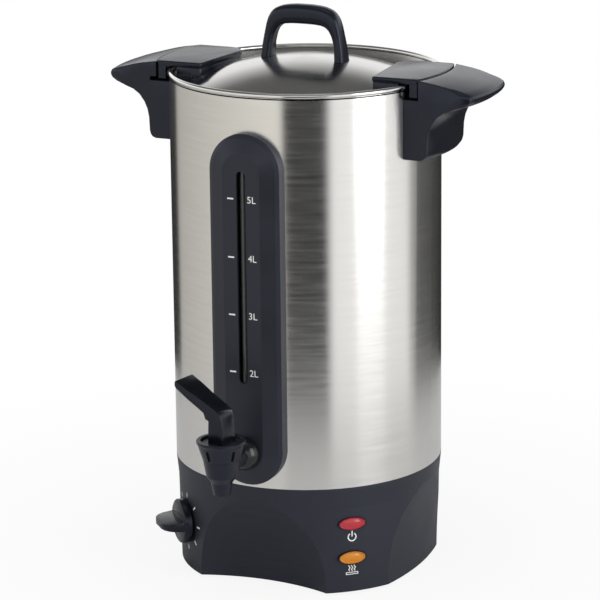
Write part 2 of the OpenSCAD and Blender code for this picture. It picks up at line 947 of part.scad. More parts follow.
// tap lever: forked block over the stem with a widening paddle
module tap_lever() {
    color(plastic)
    translate([0, -tap_d, 0])
        aim(-paddle_turn)
            difference() {
                intersection() {
                    translate([-paddle_hw, 0, 0])
                        rotate([90, 0, 90])
                            linear_extrude(2 * paddle_hw)
                                scale([-1, 1])
                                    lever_side();
                    translate([0, 0, heel_z - 5])
                        linear_extrude(60)
                            lever_plan();
                }
                translate([-fork_hw, 0, pin_z])
                    rotate([0, 90, 0])
                        cylinder(r = eye_r + gap, h = 2 * fork_hw);
                translate([-fork_hw, 0, 0])
                    rotate([90, 0, 90])
                        linear_extrude(2 * fork_hw)
                            polygon([
                                [eye_r + gap, pin_z], [eye_r + gap, heel_z - 2],
                                [-block_hl - 4, heel_z - 2], [-block_hl - 4, pin_z - 4],
                                [-eye_r - gap, pin_z]
                            ]);
                translate([-pin_hl - gap, 0, pin_z])
                    rotate([0, 90, 0])
                        cylinder(r = pin_r + run_fit, h = 2 * pin_hl + 2 * gap);
            }
}

// section of a side handle: distance from the tank axis and height, with the lock lip's depth
module handle_section(lip) {
    tip = handle_reach;
    difference() {
        polygon([
            [handle_in, handle_z0], [101.5, handle_z0], [103.8, handle_z0 + 0.8],
            [105.2, handle_z0 + 2.6], [105.8, handle_z0 + 5], [106.2, handle_z0 + 14],
            [107.2, handle_z0 + 19.5], [109.4, handle_z0 + 24.8], [112.8, handle_z0 + 29.6],
            [117.2, handle_z0 + 33.2], [122.4, handle_z0 + 35.4], [tip - 8, handle_z0 + 38.4],
            [tip - 4.2, handle_z0 + 39.8], [tip - 1.4, handle_z0 + 41.8], [tip - 0.2, handle_z0 + 44],
            [tip, handle_z0 + 45.4], [tip - 0.8, handle_z0 + 46.8], [tip - 3, handle_z0 + 47.8],
            [tip - 12, handle_z0 + 49.2], [tip - 24, handle_z0 + 51], [channel_r + 0.6, rim_z + 3.4],
            [channel_r, rim_z + 2.8], [handle_in, rim_z + 2.8]
        ]);
        polygon([
            [handle_in - 1, channel_z0], [channel_r + lip, channel_z0],
            [channel_r + lip, channel_z0 + 2.6], [channel_r, channel_z0 + 2.6 + 0.01 * lip],
            [channel_r, channel_z0 + 20], [handle_in - 1, channel_z0 + 20]
        ]);
    }
}

// one side handle: a turned section clipped to its width, with an open lock channel
module side_handle(side) {
    color(plastic)
    aim(side)
        difference() {
            intersection() {
                union() {
                    rotate([0, 0, -90 - 40])
                        rotate_extrude(angle = 40 + lip_turn)
                            handle_section(0);
                    rotate([0, 0, -90 + lip_turn])
                        rotate_extrude(angle = 40 - lip_turn)
                            handle_section(lip_depth);
                }
                translate([0, 0, handle_z0 - 5])
                    linear_extrude(80)
                        round_rect(-handle_hw, handle_hw, -handle_reach - 0.6, -60, handle_corner);
            }
            for (a = [-screw_turn, screw_turn])
                for (z = screw_zs)
                    aim(a)
                        rod_out(screw_r + seat, tank_r - 6, tank_r + 11, z);
        }
}

// handle on the left as seen from the front
module handle_left() {
    side_handle(-90);
}

// handle on the right as seen from the front
module handle_right() {
    side_handle(90);
}

// screws from inside the tank into the handles
module handle_screws() {
    color(steel)
    for (side = [90, 270])
        for (a = [-screw_turn, screw_turn])
            for (z = screw_zs)
                aim(side + a)
                    translate([0, -tank_in + 0.1, z])
                        rotate([90, 0, 0])
                            screw_up(10);
}

// soft ring between the lid's edge and the tank wall
module lid_gasket() {
    color(rubber)
    rotate_extrude()
        polygon([
            [lid_r + gap, edge_z - hem_h], [lid_r + gap + 2, edge_z - hem_h],
            [tank_in - gap, edge_z - 1.2], [tank_in - gap, edge_z + 0.6],
            [lid_r + gap, edge_z + 0.6]
        ]);
}

// section of the dome's sheet between two radii of its sphere
module dome_zone(low) {
    intersection() {
        difference() {
            translate([0, dome_c])
                circle(r = dome_sphere, $fn = 360);
            translate([0, dome_c])
                circle(r = dome_sphere - lid_t, $fn = 360);
        }
        translate([0, low])
            square([lid_r - 0.3, 100]);
    }
}

// lid dome with a turned down hem
module lid_dome() {
    color(steel)
    difference() {
        rotate_extrude() {
            dome_zone(edge_z - 1.2);
            translate([lid_r - lid_t, edge_z - hem_h])
                square([lid_t, hem_h - 0.1]);
        }
        for (x = [-1, 1]) {
            translate([x * (grip_span - 4.5), 0, edge_z - 5])
                cylinder(r = screw_r + seat, h = 40);
            for (y = [-18, 18])
                translate([x * 68, y, edge_z - 5])
                    cylinder(r = screw_r + seat, h = 40);
        }
    }
}

// plan of a lock wing, inset by the stated amount, the wing along -Y: flip puts the sharp
// corner on the other side
module wing_plan(inset, flip) {
    hw = wing_hw - inset;
    inner = wing_in + inset;
    round_c = [hw - wing_corner, -inner - wing_corner];
    intersection() {
        circle(r = wing_r - inset, $fn = 180);
        scale([flip, 1])
            polygon(concat(
                [[-hw, -wing_r - 5], [-hw, -inner - 5.6], [-hw + 1.6, -inner - 4.2]],
                [for (i = [0 : 6])
                    let (a = 90 - 15 * i)
                    [round_c[0] + wing_corner * cos(a), round_c[1] + wing_corner * sin(a)]],
                [[hw, -wing_r - 5]]
            ));
    }
}

// one lock wing: plate over the rim, skirt down to the dome and a tab outside the rim
module lock_wing(side, flip) {
    color(plastic)
    aim(side)
        difference() {
            union() {
                translate([0, 0, wing_low])
                    linear_extrude(wing_top - wing_low - 1.2)
                        wing_plan(0, flip);
                translate([0, 0, wing_top - 1.3])
                    linear_extrude(1.3)
                        wing_plan(1.2, flip);
                translate([0, 0, edge_z - 1])
                    linear_extrude(wing_low - edge_z + 1.1)
                        intersection() {
                            circle(r = wing_skirt_r);
                            difference() {
                                wing_plan(0.4, flip);
                                intersection() {
                                    circle(r = wing_skirt_r - wing_wall);
                                    wing_plan(wing_wall + 0.4, flip);
                                }
                            }
                        }
                for (x = [-18, 18])
                    translate([x, -68, edge_z])
                        cylinder(r = 4, h = wing_low - edge_z + 0.1);
                translate([0, 0, tab_z0])
                    linear_extrude(wing_low - tab_z0 + 0.1)
                        difference() {
                            wing_plan(0.2, flip);
                            circle(r = tab_r0);
                        }
            }
            translate([0, 0, dome_c])
                rotate_extrude()
                    intersection() {
                        circle(r = dome_sphere + seat, $fn = 360);
                        square([lid_r + 0.4, dome_sphere + 10]);
                    }
            for (x = [-18, 18])
                translate([x, -68, edge_z - 5])
                    cylinder(r = screw_r + seat, h = 19);
        }
}

// wing over the left handle
module wing_left() {
    lock_wing(-90, -1);
}

// wing over the right handle
module wing_right() {
    lock_wing(90, 1);
}

// lid handle: upright arch across the dome
module lid_handle() {
    top = rim_z + grip_h;
    foot_z = edge_z + 8;
    color(plastic)
    difference() {
        intersection() {
            translate([0, 7, 0])
                rotate([90, 0, 0])
                    linear_extrude(14)
                        difference() {
                            polygon(concat(
                                [[-grip_span, foot_z]],
                                [for (p = grip_outer) [-p[0], top - p[1]]],
                                [for (i = [len(grip_outer) - 1 : -1 : 0])
                                    [grip_outer[i][0], top - grip_outer[i][1]]],
                                [[grip_span, foot_z]]
                            ));
                            polygon(concat(
                                [[7.4 - grip_span, foot_z - 1]],
                                [for (p = grip_inner) [-p[0], top - p[1]]],
                                [for (i = [len(grip_inner) - 1 : -1 : 0])
                                    [grip_inner[i][0], top - grip_inner[i][1]]],
                                [[grip_span - 7.4, foot_z - 1]]
                            ));
                        }
            translate([-grip_span - 1, 0, 0])
                rotate([90, 0, 90])
                    linear_extrude(2 * grip_span + 2)
                        union() {
                            polygon([
                                [-7, foot_z], [7, foot_z], [5.6, top - 22], [-5.6, top - 22]
                            ]);
                            round_rect(-5.6, 5.6, top - 36, top, 4.5);
                        }
        }
        translate([0, 0, dome_c])
            rotate_extrude()
                intersection() {
                    circle(r = dome_sphere + seat, $fn = 360);
                    square([lid_r + 0.4, dome_sphere + 10]);
                }
        for (x = [-1, 1])
            translate([x * (grip_span - 4.5), 0, edge_z])
                cylinder(r = screw_r + seat, h = 32);
    }
}

// screws from below through the dome
module lid_screws() {
    color(steel)
    for (x = [-1, 1]) {
        translate([x * (grip_span - 4.5), 0, dome_c + dome_z(grip_span - 4.5) - lid_t - 0.5])
            screw_up(10);
        for (y = [-18, 18])
            translate([x * 68, y, dome_c + dome_z(norm([68, 18])) - lid_t - 1.5])
                screw_up(8);
    }
}
function dome_z(r) = sqrt(dome_sphere * dome_sphere - r * r);

base_shell();
base_plate();
rubber_feet();
base_screws();
tank();
heater_plate();
heating_element();
heater_clamp();
thermostat_body();
thermostat_spindle();
thermostat_knob();
thermal_cutout();
terminal_block();
cord_gland();
gland_nut();
lamp_red();
lamp_amber();
lamp_bezels();
lamp_holders();
gauge_panel();
sight_tube();
tube_seals();
tap_body();
tap_collar();
tap_nut();
tap_washers();
tap_bearing();
tap_stem();
tap_seat();
tap_spring();
lever_pin();
tap_lever();
handle_left();
handle_right();
handle_screws();
lid_gasket();
lid_dome();
wing_left();
wing_right();
lid_handle();
lid_screws();
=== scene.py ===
# %% [markdown]
# # A mulled wine urn
# This file dresses a measured model of a steel urn that keeps mulled wine hot. The model's solids
# come from the shared frame, already in metres and in place. Here they get their finishes, and the
# pieces that need soft edges or fine shapes are made again with Blender's own mesh operators.
# The tank's axis is x = y = 0, the floor is z = 0 and the tap faces -Y.

# %% Load the frame
import bpy
import bmesh
import math
from mathutils import Matrix, Vector


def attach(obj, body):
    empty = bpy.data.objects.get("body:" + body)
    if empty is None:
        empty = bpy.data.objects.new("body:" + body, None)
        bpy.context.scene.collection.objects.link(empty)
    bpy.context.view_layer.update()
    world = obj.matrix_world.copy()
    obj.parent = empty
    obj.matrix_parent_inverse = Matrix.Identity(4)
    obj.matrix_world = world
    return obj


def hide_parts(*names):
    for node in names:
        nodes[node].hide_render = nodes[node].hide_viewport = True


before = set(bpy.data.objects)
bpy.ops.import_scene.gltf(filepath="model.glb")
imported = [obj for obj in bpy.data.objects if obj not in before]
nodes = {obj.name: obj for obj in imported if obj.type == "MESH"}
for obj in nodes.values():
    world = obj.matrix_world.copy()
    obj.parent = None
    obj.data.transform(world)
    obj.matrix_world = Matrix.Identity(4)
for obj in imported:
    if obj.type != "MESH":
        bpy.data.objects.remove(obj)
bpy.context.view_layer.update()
MM = 0.001

# %% [markdown]
# The camera stands where the photograph was taken from. The view was worked out from the urn's own
# ellipses: the rim, the seam over the base and the foot all have known radii, so their flattening
# gives the height and distance of the eye. It is a long lens, two metres away, a little above.
# Trying views by eye would also do, but every pixel that is measured later rests on this one.

# %% Camera
PIXELS = 600
FOCAL_PIXELS = 3013.5
SENSOR_MM = 36.0
PITCH = math.radians(15.17)
ROLL = math.radians(-0.61)
TURN = math.radians(24.8)
EYE = Vector((-5.06, -1979.29, 718.11)) * MM

turn = Matrix.Rotation(TURN, 3, "Z")
forward = turn @ Vector((0, math.cos(PITCH), -math.sin(PITCH)))
level_right = turn @ Vector((1, 0, 0))
level_up = level_right.cross(forward)
right = level_right * math.cos(ROLL) + level_up * math.sin(ROLL)
up = right.cross(forward)
camera_data = bpy.data.cameras.new("studio_camera")
camera_data.sensor_width = SENSOR_MM
camera_data.lens = FOCAL_PIXELS / PIXELS * SENSOR_MM
camera_data.clip_start = 0.1
camera_data.clip_end = 50.0
camera = bpy.data.objects.new("studio_camera", camera_data)
bpy.context.scene.collection.objects.link(camera)
camera.matrix_world = (
    Matrix.Translation(turn @ EYE)
    @ Matrix((right, up, -forward)).transposed().to_4x4()
)
bpy.context.scene.camera = camera
print("camera at", [round(v, 3) for v in camera.matrix_world.translation])

# %% [markdown]
# The view transform decides how light becomes pixels. Filmic ones soften the bright end, which
# suits a landscape. A product picture wants each colour as it was written, so it is Standard.

# %% View
bpy.context.scene.view_settings.view_transform = "Standard"
print("view transform:", bpy.context.scene.view_settings.view_transform)

# %% [markdown]
# Colours are written as hex values, as on a colour chart, but a shader works with linear light, so
# one function turns the first into the second. Node trees are built by hand in the editor; here
# one small function adds a node, sets it and links it, which keeps each material to a few lines.


# %% Colour and node helpers
def linear(hex_colour):
    """Turns an sRGB hex colour into the linear values that the sockets hold."""
    values = []
    for i in (0, 2, 4):
        c = int(hex_colour[i:i + 2], 16) / 255.0
        values.append(c / 12.92 if c <= 0.04045 else ((c + 0.055) / 1.055) ** 2.4)
    return (values[0], values[1], values[2], 1.0)


def add(tree, kind, links=None, **settings):
    """Adds one node: settings are its properties, links fill its sockets by name or number."""
    n = tree.nodes.new(kind)
    for key, value in settings.items():
        setattr(n, key, value)
    for socket, value in (links or {}).items():
        if hasattr(value, "is_linked"):
            tree.links.new(value, n.inputs[socket])
        else:
            n.inputs[socket].default_value = value
    return n


# %% [markdown]
# Steel only looks like steel when it has something to reflect. A product studio has a white wall on
# one side, a grey one on the other and a dark gap where the camera stands, and a polished cylinder
# draws them as upright bands. One way is a row of lamps with black cards between them. Here the
# world does it: its grey depends on the direction alone, so nothing stands in the way of another
# view. What the camera sees directly, or through glass, is plain white, by a Light Path node.

# %% World: the walls
# compass direction in degrees from the front towards the right, and the grey of the wall there
WALLS = [(-180, "2c2c2c"), (-119, "2a2a2a"), (-113, "b2afab"), (-48, "cfccc6"), (3, "e6e3dd"),
         (7, "0b0b0c"), (40, "0b0b0c"), (47, "f6f6f6"), (118, "f0f0f0"), (130, "5e5e5e"),
         (180, "2c2c2c")]


def grade(ramp_node, stops):
    """Writes the (place, grey) stops of a colour ramp, whose places run from 0 to 1."""
    elements = ramp_node.color_ramp.elements
    for place, grey in stops[1:-1]:
        elements.new(place)
    for element, (place, grey) in zip(elements, stops):
        element.position = place
        element.color = linear(grey)


world = bpy.data.worlds.new("studio_world")
bpy.context.scene.world = world
world.use_nodes = True
wt = world.node_tree
wt.nodes.clear()
around = add(wt, "ShaderNodeTexCoord")
compass = add(wt, "ShaderNodeSeparateXYZ", {0: around.outputs["Generated"]})
toward_front = add(wt, "ShaderNodeMath", {0: compass.outputs["Y"], 1: -1.0}, operation="MULTIPLY")
bearing = add(wt, "ShaderNodeMath", {0: compass.outputs["X"], 1: toward_front.outputs[0]},
              operation="ARCTAN2")
share = add(wt, "ShaderNodeMapRange",
            {"Value": bearing.outputs[0], "From Min": -math.pi, "From Max": math.pi})
walls = add(wt, "ShaderNodeValToRGB", {"Fac": share.outputs[0]})
grade(walls, [((degrees + 180) / 360, grey) for degrees, grey in WALLS])
print("walls:", len(WALLS), "stops round the compass")

# %% [markdown]
# Above eye level the white backdrop stands all round: the crest of the dome and the tops of the
# handles show it. Over it hangs a dark ceiling, which the front of the dome shows, with a paler
# middle that a view from above sees in the lid. Planes could stand there, but they would shade the
# floor, so a second colour ramp draws them by height, and a node blends it into the walls.

# %% World: the backdrop and the ceiling
# heights are the sine of the angle above level, and each stop of the ceiling has its grey
BACKDROP_FROM, BACKDROP_FULL = 0.02, 0.1
CEILING = [(0.32, "ffffff"), (0.58, "656565"), (0.9, "656565"), (1.0, "c8c8c8")]
ROOM_STRENGTH = 1.1

backdrop = add(wt, "ShaderNodeMapRange", {"Value": compass.outputs["Z"],
               "From Min": BACKDROP_FROM, "From Max": BACKDROP_FULL})
ceiling = add(wt, "ShaderNodeValToRGB", {"Fac": compass.outputs["Z"]})
grade(ceiling, CEILING)
room = add(wt, "ShaderNodeMix", {"Factor": backdrop.outputs[0], 6: walls.outputs["Color"],
           7: ceiling.outputs["Color"]}, data_type="RGBA")
path = add(wt, "ShaderNodeLightPath")
seen = add(wt, "ShaderNodeMath", {0: path.outputs["Is Camera Ray"],
           1: path.outputs["Is Transmission Ray"]}, operation="MAXIMUM")
studio = add(wt, "ShaderNodeBackground", {"Color": room.outputs[2], "Strength": ROOM_STRENGTH})
white = add(wt, "ShaderNodeBackground", {"Color": linear("ffffff"), "Strength": 1.0})
either = add(wt, "ShaderNodeMixShader",
             {0: seen.outputs[0], 1: studio.outputs[0], 2: white.outputs[0]})
add(wt, "ShaderNodeOutputWorld", {"Surface": either.outputs[0]})
print("world nodes:", len(wt.nodes))

# %% [markdown]
# Two big soft panels do the lighting, as in a small product studio: one at the right, whose glow
# also runs down the steel, and one overhead for the tops of the handles. Sun or point lamps would
# be simpler, but they give hard shadows and small hot spots.

# %% Lamps
AIM_HEIGHT = 0.2


def panel_lamp(name, azimuth, height, distance, size, power):
    """A soft panel at a direction round the urn, turned to face the middle of its axis."""
    data = bpy.data.lights.new(name, "AREA")
    data.shape = "RECTANGLE"
    data.size, data.size_y = size
    data.energy = power
    lamp = bpy.data.objects.new(name, data)
    bpy.context.scene.collection.objects.link(lamp)
    a = math.radians(azimuth)
    place = Vector((math.sin(a) * distance, -math.cos(a) * distance, height))
    facing = (Vector((0, 0, AIM_HEIGHT)) - place).to_track_quat("-Z", "Y")
    lamp.matrix_world = Matrix.Translation(place) @ facing.to_matrix().to_4x4()
    return lamp


panel_lamp("right_panel", azimuth=78, height=0.6, distance=1.7, size=(0.8, 1.4), power=9)
top_panel = panel_lamp("top_panel", azimuth=10, height=1.8, distance=0.35, size=(1.3, 1.3),
                       power=15)
# the dome would show this panel as a white patch, so it lights matt surfaces only
top_panel.visible_glossy = False

# %% [markdown]
# The floor is a plain pale disc, a metre across, as a sheet of paper would be. A white plane would
# show a grey shade of its own, so what the camera sees is mostly a plain glow, and a tenth is the
# real paper with the urn's faint shadow. It fades to the full glow at its edge, so that no line
# shows where the world takes over. The lowest part of the tank mirrors the paper as well.

# %% Floor
FLOOR_R = 0.5
bm = bmesh.new()
bmesh.ops.create_circle(bm, cap_ends=True, segments=64, radius=FLOOR_R)
floor_mesh = bpy.data.meshes.new("studio_floor")
bm.to_mesh(floor_mesh)
bm.free()
floor = bpy.data.objects.new("studio_floor", floor_mesh)
bpy.context.scene.collection.objects.link(floor)
print("floor:", 2 * FLOOR_R, "m across")

# %% Paper of the floor
FADE_FROM, FADE_TO = 0.12, FLOOR_R * 0.9
GLOW_SHARE = 0.9

paper = bpy.data.materials.new("white_paper_sweep")
paper.use_nodes = True
pt = paper.node_tree
pt.nodes.clear()
paper_path = add(pt, "ShaderNodeLightPath")
sheet = add(pt, "ShaderNodeBsdfDiffuse", {"Color": linear("dcdcdc")})
glow = add(pt, "ShaderNodeEmission", {"Color": linear("ffffff"), "Strength": 1.0})
spot = add(pt, "ShaderNodeTexCoord")
off = add(pt, "ShaderNodeVectorMath", {0: spot.outputs["Object"]}, operation="LENGTH")
fade = add(pt, "ShaderNodeMapRange", {"Value": off.outputs["Value"], "From Min": FADE_FROM,
           "From Max": FADE_TO, "To Min": GLOW_SHARE, "To Max": 1.0})
part = add(pt, "ShaderNodeMath", {0: paper_path.outputs["Is Camera Ray"], 1: fade.outputs[0]},
           operation="MULTIPLY")
blend = add(pt, "ShaderNodeMixShader",
            {0: part.outputs[0], 1: sheet.outputs[0], 2: glow.outputs[0]})
add(pt, "ShaderNodeOutputMaterial", {"Surface": blend.outputs[0]})
floor_mesh.materials.append(paper)
print("floor finish:", paper.name)

# %% [markdown]
# Every finish starts from a Principled shader with the values of the real material, and reads
# Object coordinates, which are metres on this model, so a grain can be given its real size. Image
# textures would need files and a layout on each piece; noise needs neither.


# %% Start of a finish
def finish_of(name, colour, roughness, metallic=0.0, **sockets):
    """A new material with a Principled shader: gives the material, its tree and the shader."""
    m = bpy.data.materials.new(name)
    m.use_nodes = True
    t = m.node_tree
    t.nodes.clear()
    values = {"Base Color": linear(colour), "Roughness": roughness, "Metallic": metallic}
    values.update(sockets)
    shader = add(t, "ShaderNodeBsdfPrincipled", values)
    add(t, "ShaderNodeOutputMaterial", {"Surface": shader.outputs[0]})
    return m, t, shader


def shaded(t, shader, colour, value, span, tones):
    """Makes the base colour a little darker or paler as a pattern's value runs over its span."""
    tone = add(t, "ShaderNodeMapRange", {"Value": value, "From Min": span[0], "From Max": span[1],
               "To Min": tones[0], "To Max": tones[1]})
    tinted = add(t, "ShaderNodeMix", {"Factor": 1.0, 6: linear(colour), 7: tone.outputs[0]},
                 data_type="RGBA", blend_type="MULTIPLY")
    t.links.new(tinted.outputs[2], shader.inputs["Base Color"])
    return tinted


# %% [markdown]
# **Brushed stainless steel.** The tank's sheet was ground with a belt that ran round it, so its
# scratches are long in the round direction and very thin in height. Stretched noise does it: the
# pattern reads the angle round the axis at a low scale and the height at a high one. A real scratch
# is about 0.05 mm wide, too fine for the picture, so it is drawn 0.3 mm wide. The scratches also
# smear each reflection up and down and leave it sharp sideways. That is anisotropy: a Tangent node
# that runs round the axis, and a quarter turn, keep the upright bands of the studio crisp.

# %% Brushed steel
STROKE_TURN = 2.2         # noise cells in a radian, which makes a scratch about 40 mm long
BAND_STROKES = 9          # the broad, faint streaks are this many scratches wide
ANISOTROPY, QUARTER_TURN = 0.7, 0.25
FINE_SHARE = 0.7          # weight of the scratches against the streaks, which have 1
GLOSS_SPAN, TONE_SPAN = (0.45, 1.25), (0.4, 1.3)   # values of both noises added
STEEL_TONES = (0.96, 1.03)
GRIND_DEPTH = 0.04 * MM


def brushed_steel(name, colour, low, high, grain_mm, bump):
    """Steel with scratches round the Z axis: gives the material and the nodes that a rim needs."""
    m, t, s = finish_of(name, colour, 0.3, 1.0,
                        **{"Anisotropic": ANISOTROPY, "Anisotropic Rotation": QUARTER_TURN})
    where = add(t, "ShaderNodeTexCoord")
    axes = add(t, "ShaderNodeSeparateXYZ", {0: where.outputs["Object"]})
    angle = add(t, "ShaderNodeMath", {0: axes.outputs["X"], 1: axes.outputs["Y"]},
                operation="ARCTAN2")
    slow = add(t, "ShaderNodeMath", {0: angle.outputs[0], 1: STROKE_TURN}, operation="MULTIPLY")
    noises = []
    for width_mm, layer, detail in ((grain_mm, 0.0, 3.0), (BAND_STROKES * grain_mm, 3.0, 2.0)):
        fast = add(t, "ShaderNodeMath", {0: axes.outputs["Z"], 1: 1.0 / (width_mm * MM)},
                   operation="MULTIPLY")
        strokes = add(t, "ShaderNodeCombineXYZ",
                      {0: slow.outputs[0], 1: fast.outputs[0], 2: layer})
        noises.append(add(t, "ShaderNodeTexNoise",
                          {"Vector": strokes.outputs[0], "Scale": 1.0, "Detail": detail}))
    fine, broad = noises
    fine.inputs["Roughness"].default_value = 0.6
    both = add(t, "ShaderNodeMath",
               {0: fine.outputs["Fac"], 1: FINE_SHARE, 2: broad.outputs["Fac"]},
               operation="MULTIPLY_ADD")
    rough = add(t, "ShaderNodeMapRange", {"Value": both.outputs[0], "From Min": GLOSS_SPAN[0],
                "From Max": GLOSS_SPAN[1], "To Min": low, "To Max": high})
    t.links.new(rough.outputs[0], s.inputs["Roughness"])
    tinted = shaded(t, s, colour, both.outputs[0], TONE_SPAN, STEEL_TONES)
    round_axis = add(t, "ShaderNodeTangent", direction_type="RADIAL", axis="Z")
    t.links.new(round_axis.outputs[0], s.inputs["Tangent"])
    ground = add(t, "ShaderNodeBump", {"Height": both.outputs[0], "Strength": bump,
                 "Distance": GRIND_DEPTH})
    t.links.new(ground.outputs[0], s.inputs["Normal"])
    return m, axes, rough, tinted


# the lid was polished after grinding, so it is more like a mirror and takes on the dark ceiling
dome_steel = brushed_steel("satin_stainless_lid", "cbcac8", 0.13, 0.2, grain_mm=0.5, bump=0.04)[0]
print("brushed finish:", dome_steel.name, "nodes:", len(dome_steel.node_tree.nodes))

# %% [markdown]
# ** The tank's rolled rim.** The sheet's edge is rolled outwards into a bead and polished, and the
# fold under the bead is a narrow gap in shade. Cut in the mesh, the gap would be under a millimetre
# high, so both are painted by height: above the fold the scratches stop, and in it the steel's
# colour is darkened, which is painted shade. The same height is found on the inside of the wall,
# where there is no fold, so the radius is asked as well.

# %% Rolled rim of the tank
TANK_R = 91.0
FOLD_Z = 338.4            # here the roll begins, and the gap lies just under it
FOLD_DROP, FOLD_HALF = 0.3, 0.45
SKIN = 0.3                # less than the wall's thickness
ROLL_ROUGHNESS = 0.13


def with_rolled_rim(m, axes, rough, tinted):
    """Adds the polished roll and the painted shade of the fold to brushed steel."""
    t = m.node_tree
    s = t.nodes["Principled BSDF"]
    above = add(t, "ShaderNodeMath", {0: axes.outputs["Z"], 1: FOLD_Z * MM},
                operation="GREATER_THAN")
    calm = add(t, "ShaderNodeMix", {"Factor": above.outputs[0], "A": rough.outputs[0],
               "B": ROLL_ROUGHNESS}, data_type="FLOAT")
    t.links.new(calm.outputs[0], s.inputs["Roughness"])
    level = add(t, "ShaderNodeMath", {0: axes.outputs["Z"], 1: (FOLD_Z - FOLD_DROP) * MM,
                2: FOLD_HALF * MM}, operation="COMPARE")
    plan = add(t, "ShaderNodeCombineXYZ", {0: axes.outputs["X"], 1: axes.outputs["Y"]})
    radius = add(t, "ShaderNodeVectorMath", {0: plan.outputs[0]}, operation="LENGTH")
    outside = add(t, "ShaderNodeMath", {0: radius.outputs["Value"], 1: (TANK_R - SKIN) * MM},
                  operation="GREATER_THAN")
    # mask of the painted shade: the fold's height band, on the outside of the wall only
    fold_shade_mask = add(t, "ShaderNodeMath", {0: level.outputs[0], 1: outside.outputs[0]},
               operation="MULTIPLY")
    # painted shade: in the fold the steel's colour is mixed to near black
    painted_fold_shade = add(t, "ShaderNodeMix", {"Factor": fold_shade_mask.outputs[0], 6: tinted.outputs[2],
               7: linear("1c1c1c")}, data_type="RGBA")
    t.links.new(painted_fold_shade.outputs[2], s.inputs["Base Color"])
    return m


# the tank's sheet is bright and slightly warm, and its scratches break up the reflections
tank_steel = with_rolled_rim(*brushed_steel("brushed_stainless_sheet", "e4e3e0", 0.17, 0.25,
                                            grain_mm=0.3, bump=0.04))
# drawn wire and plated screws are small and smooth, so a plain bright metal is enough
wire_steel = finish_of("bright_steel_wire", "c4c4c4", 0.2, 1.0)[0]
print("tank finish:", tank_steel.name, "nodes:", len(tank_steel.node_tree.nodes))

# %% [markdown]
# **Moulded plastic.** Handles, tap, panel and base are black heat proof plastic. A spark eroded
# mould leaves a fine grain, which softens the reflection. The real grain is about 0.2 mm; it is
# drawn two or three times as coarse, so that it shows. Two sizes of noise make it: a fine one for
# the grain and a wide one for the faint unevenness of colour and gloss. A mould has no knife edges
# either, so a Bevel node rounds the shading of every corner by half a millimetre.

# %% Moulded plastic
PLASTIC_IOR = 1.52
CLOUD_SCALE = 28.0        # patches of about 36 mm
CLOUD_SPAN = (0.3, 0.7)   # the noise seldom leaves these values
DULLER, GLOSSIER = 0.05, 0.04
PLASTIC_TONES = (0.92, 1.08)
GRAIN_DEPTH, MOULD_EDGE = 0.05 * MM, 0.5 * MM


def moulded_plastic(name, colour, roughness, grain_mm, bump, **sockets):
    """A moulded or pressed finish: fine grain, faint clouds and soft corners."""
    m, t, s = finish_of(name, colour, roughness, **{"IOR": PLASTIC_IOR, **sockets})
    where = add(t, "ShaderNodeTexCoord")
    grain = add(t, "ShaderNodeTexNoise", {"Vector": where.outputs["Object"],
                "Scale": 1.0 / (grain_mm * MM), "Detail": 2.0, "Roughness": 0.55})
    cloud = add(t, "ShaderNodeTexNoise", {"Vector": where.outputs["Object"],
                "Scale": CLOUD_SCALE, "Detail": 3.0})
    rough = add(t, "ShaderNodeMapRange", {"Value": cloud.outputs["Fac"],
                "From Min": CLOUD_SPAN[0], "From Max": CLOUD_SPAN[1],
                "To Min": roughness - GLOSSIER, "To Max": roughness + DULLER})
    t.links.new(rough.outputs[0], s.inputs["Roughness"])
    shaded(t, s, colour, cloud.outputs["Fac"], CLOUD_SPAN, PLASTIC_TONES)
    soft = add(t, "ShaderNodeBevel", {"Radius": MOULD_EDGE}, samples=4)
    skin = add(t, "ShaderNodeBump", {"Height": grain.outputs["Fac"], "Strength": bump,
               "Distance": GRAIN_DEPTH, "Normal": soft.outputs[0]})
    t.links.new(skin.outputs[0], s.inputs["Normal"])
    return m


# %% [markdown]
# The black plastics hold one pigment and differ in polish. The pigment is a little blue, and a tint
# on the gloss brings that out in the reflections too. One black for all would be simpler, but then
# the lever, the handles and the base would run into one dark shape.

# %% Black plastics
BLUE_GLOSS = {"Specular Tint": linear("cbd1ea")}
# the base has the coarsest grain, and looks matt and palest
base_plastic = moulded_plastic("grained_base_plastic", "292a30", 0.46, 0.5, 0.3, **BLUE_GLOSS)
# the panel is satin, so that its bevels show as broad soft bands
panel_plastic = moulded_plastic("satin_panel_plastic", "27282e", 0.38, 0.4, 0.15, **BLUE_GLOSS)
# hands have worn the grips smooth, which gives a clear line of light on their edges
grip_plastic = moulded_plastic("satin_handle_plastic", "16181f", 0.24, 0.4, 0.2, **BLUE_GLOSS)
# the tap is a little duller than the grips, from heat and drips
tap_plastic = moulded_plastic("satin_tap_plastic", "191b22", 0.32, 0.4, 0.15, **BLUE_GLOSS)
# the lever and the knob come from a polished mould and are nearly glossy
lever_plastic = moulded_plastic("glossy_lever_plastic", "101115", 0.2, 0.5, 0.06, **BLUE_GLOSS)
black_plastics = (base_plastic, panel_plastic, grip_plastic, tap_plastic, lever_plastic)
print("black plastics:", [m.name for m in black_plastics])

# %% [markdown]
# The small pieces have the finishes of their trade. Rubber, ceramic, pressed aluminium and the
# heater's sheath share the moulded pattern with other grains, because each has a fine skin and soft
# corners. Turned brass is plain metal, since its tool marks are too fine to show.

# %% Rubber, ceramic and small metals
# silicone rubber has a dull bloom and no highlight
soft_rubber = moulded_plastic("matte_silicone_rubber", "1f2022", 0.7, 0.6, 0.3)
# unglazed steatite is pale and dry, like a clay pot
pale_ceramic = moulded_plastic("unglazed_steatite", "d8d3c6", 0.55, 0.8, 0.3)
# the spindle shows one warm streak of light along its length
turned_brass = finish_of("turned_brass", "b8955a", 0.28, 1.0)[0]
# pressed aluminium has an orange peel skin, which blurs what it mirrors
cast_aluminium = moulded_plastic("pressed_aluminium", "b9babc", 0.4, 1.2, 0.3, metallic=1.0)
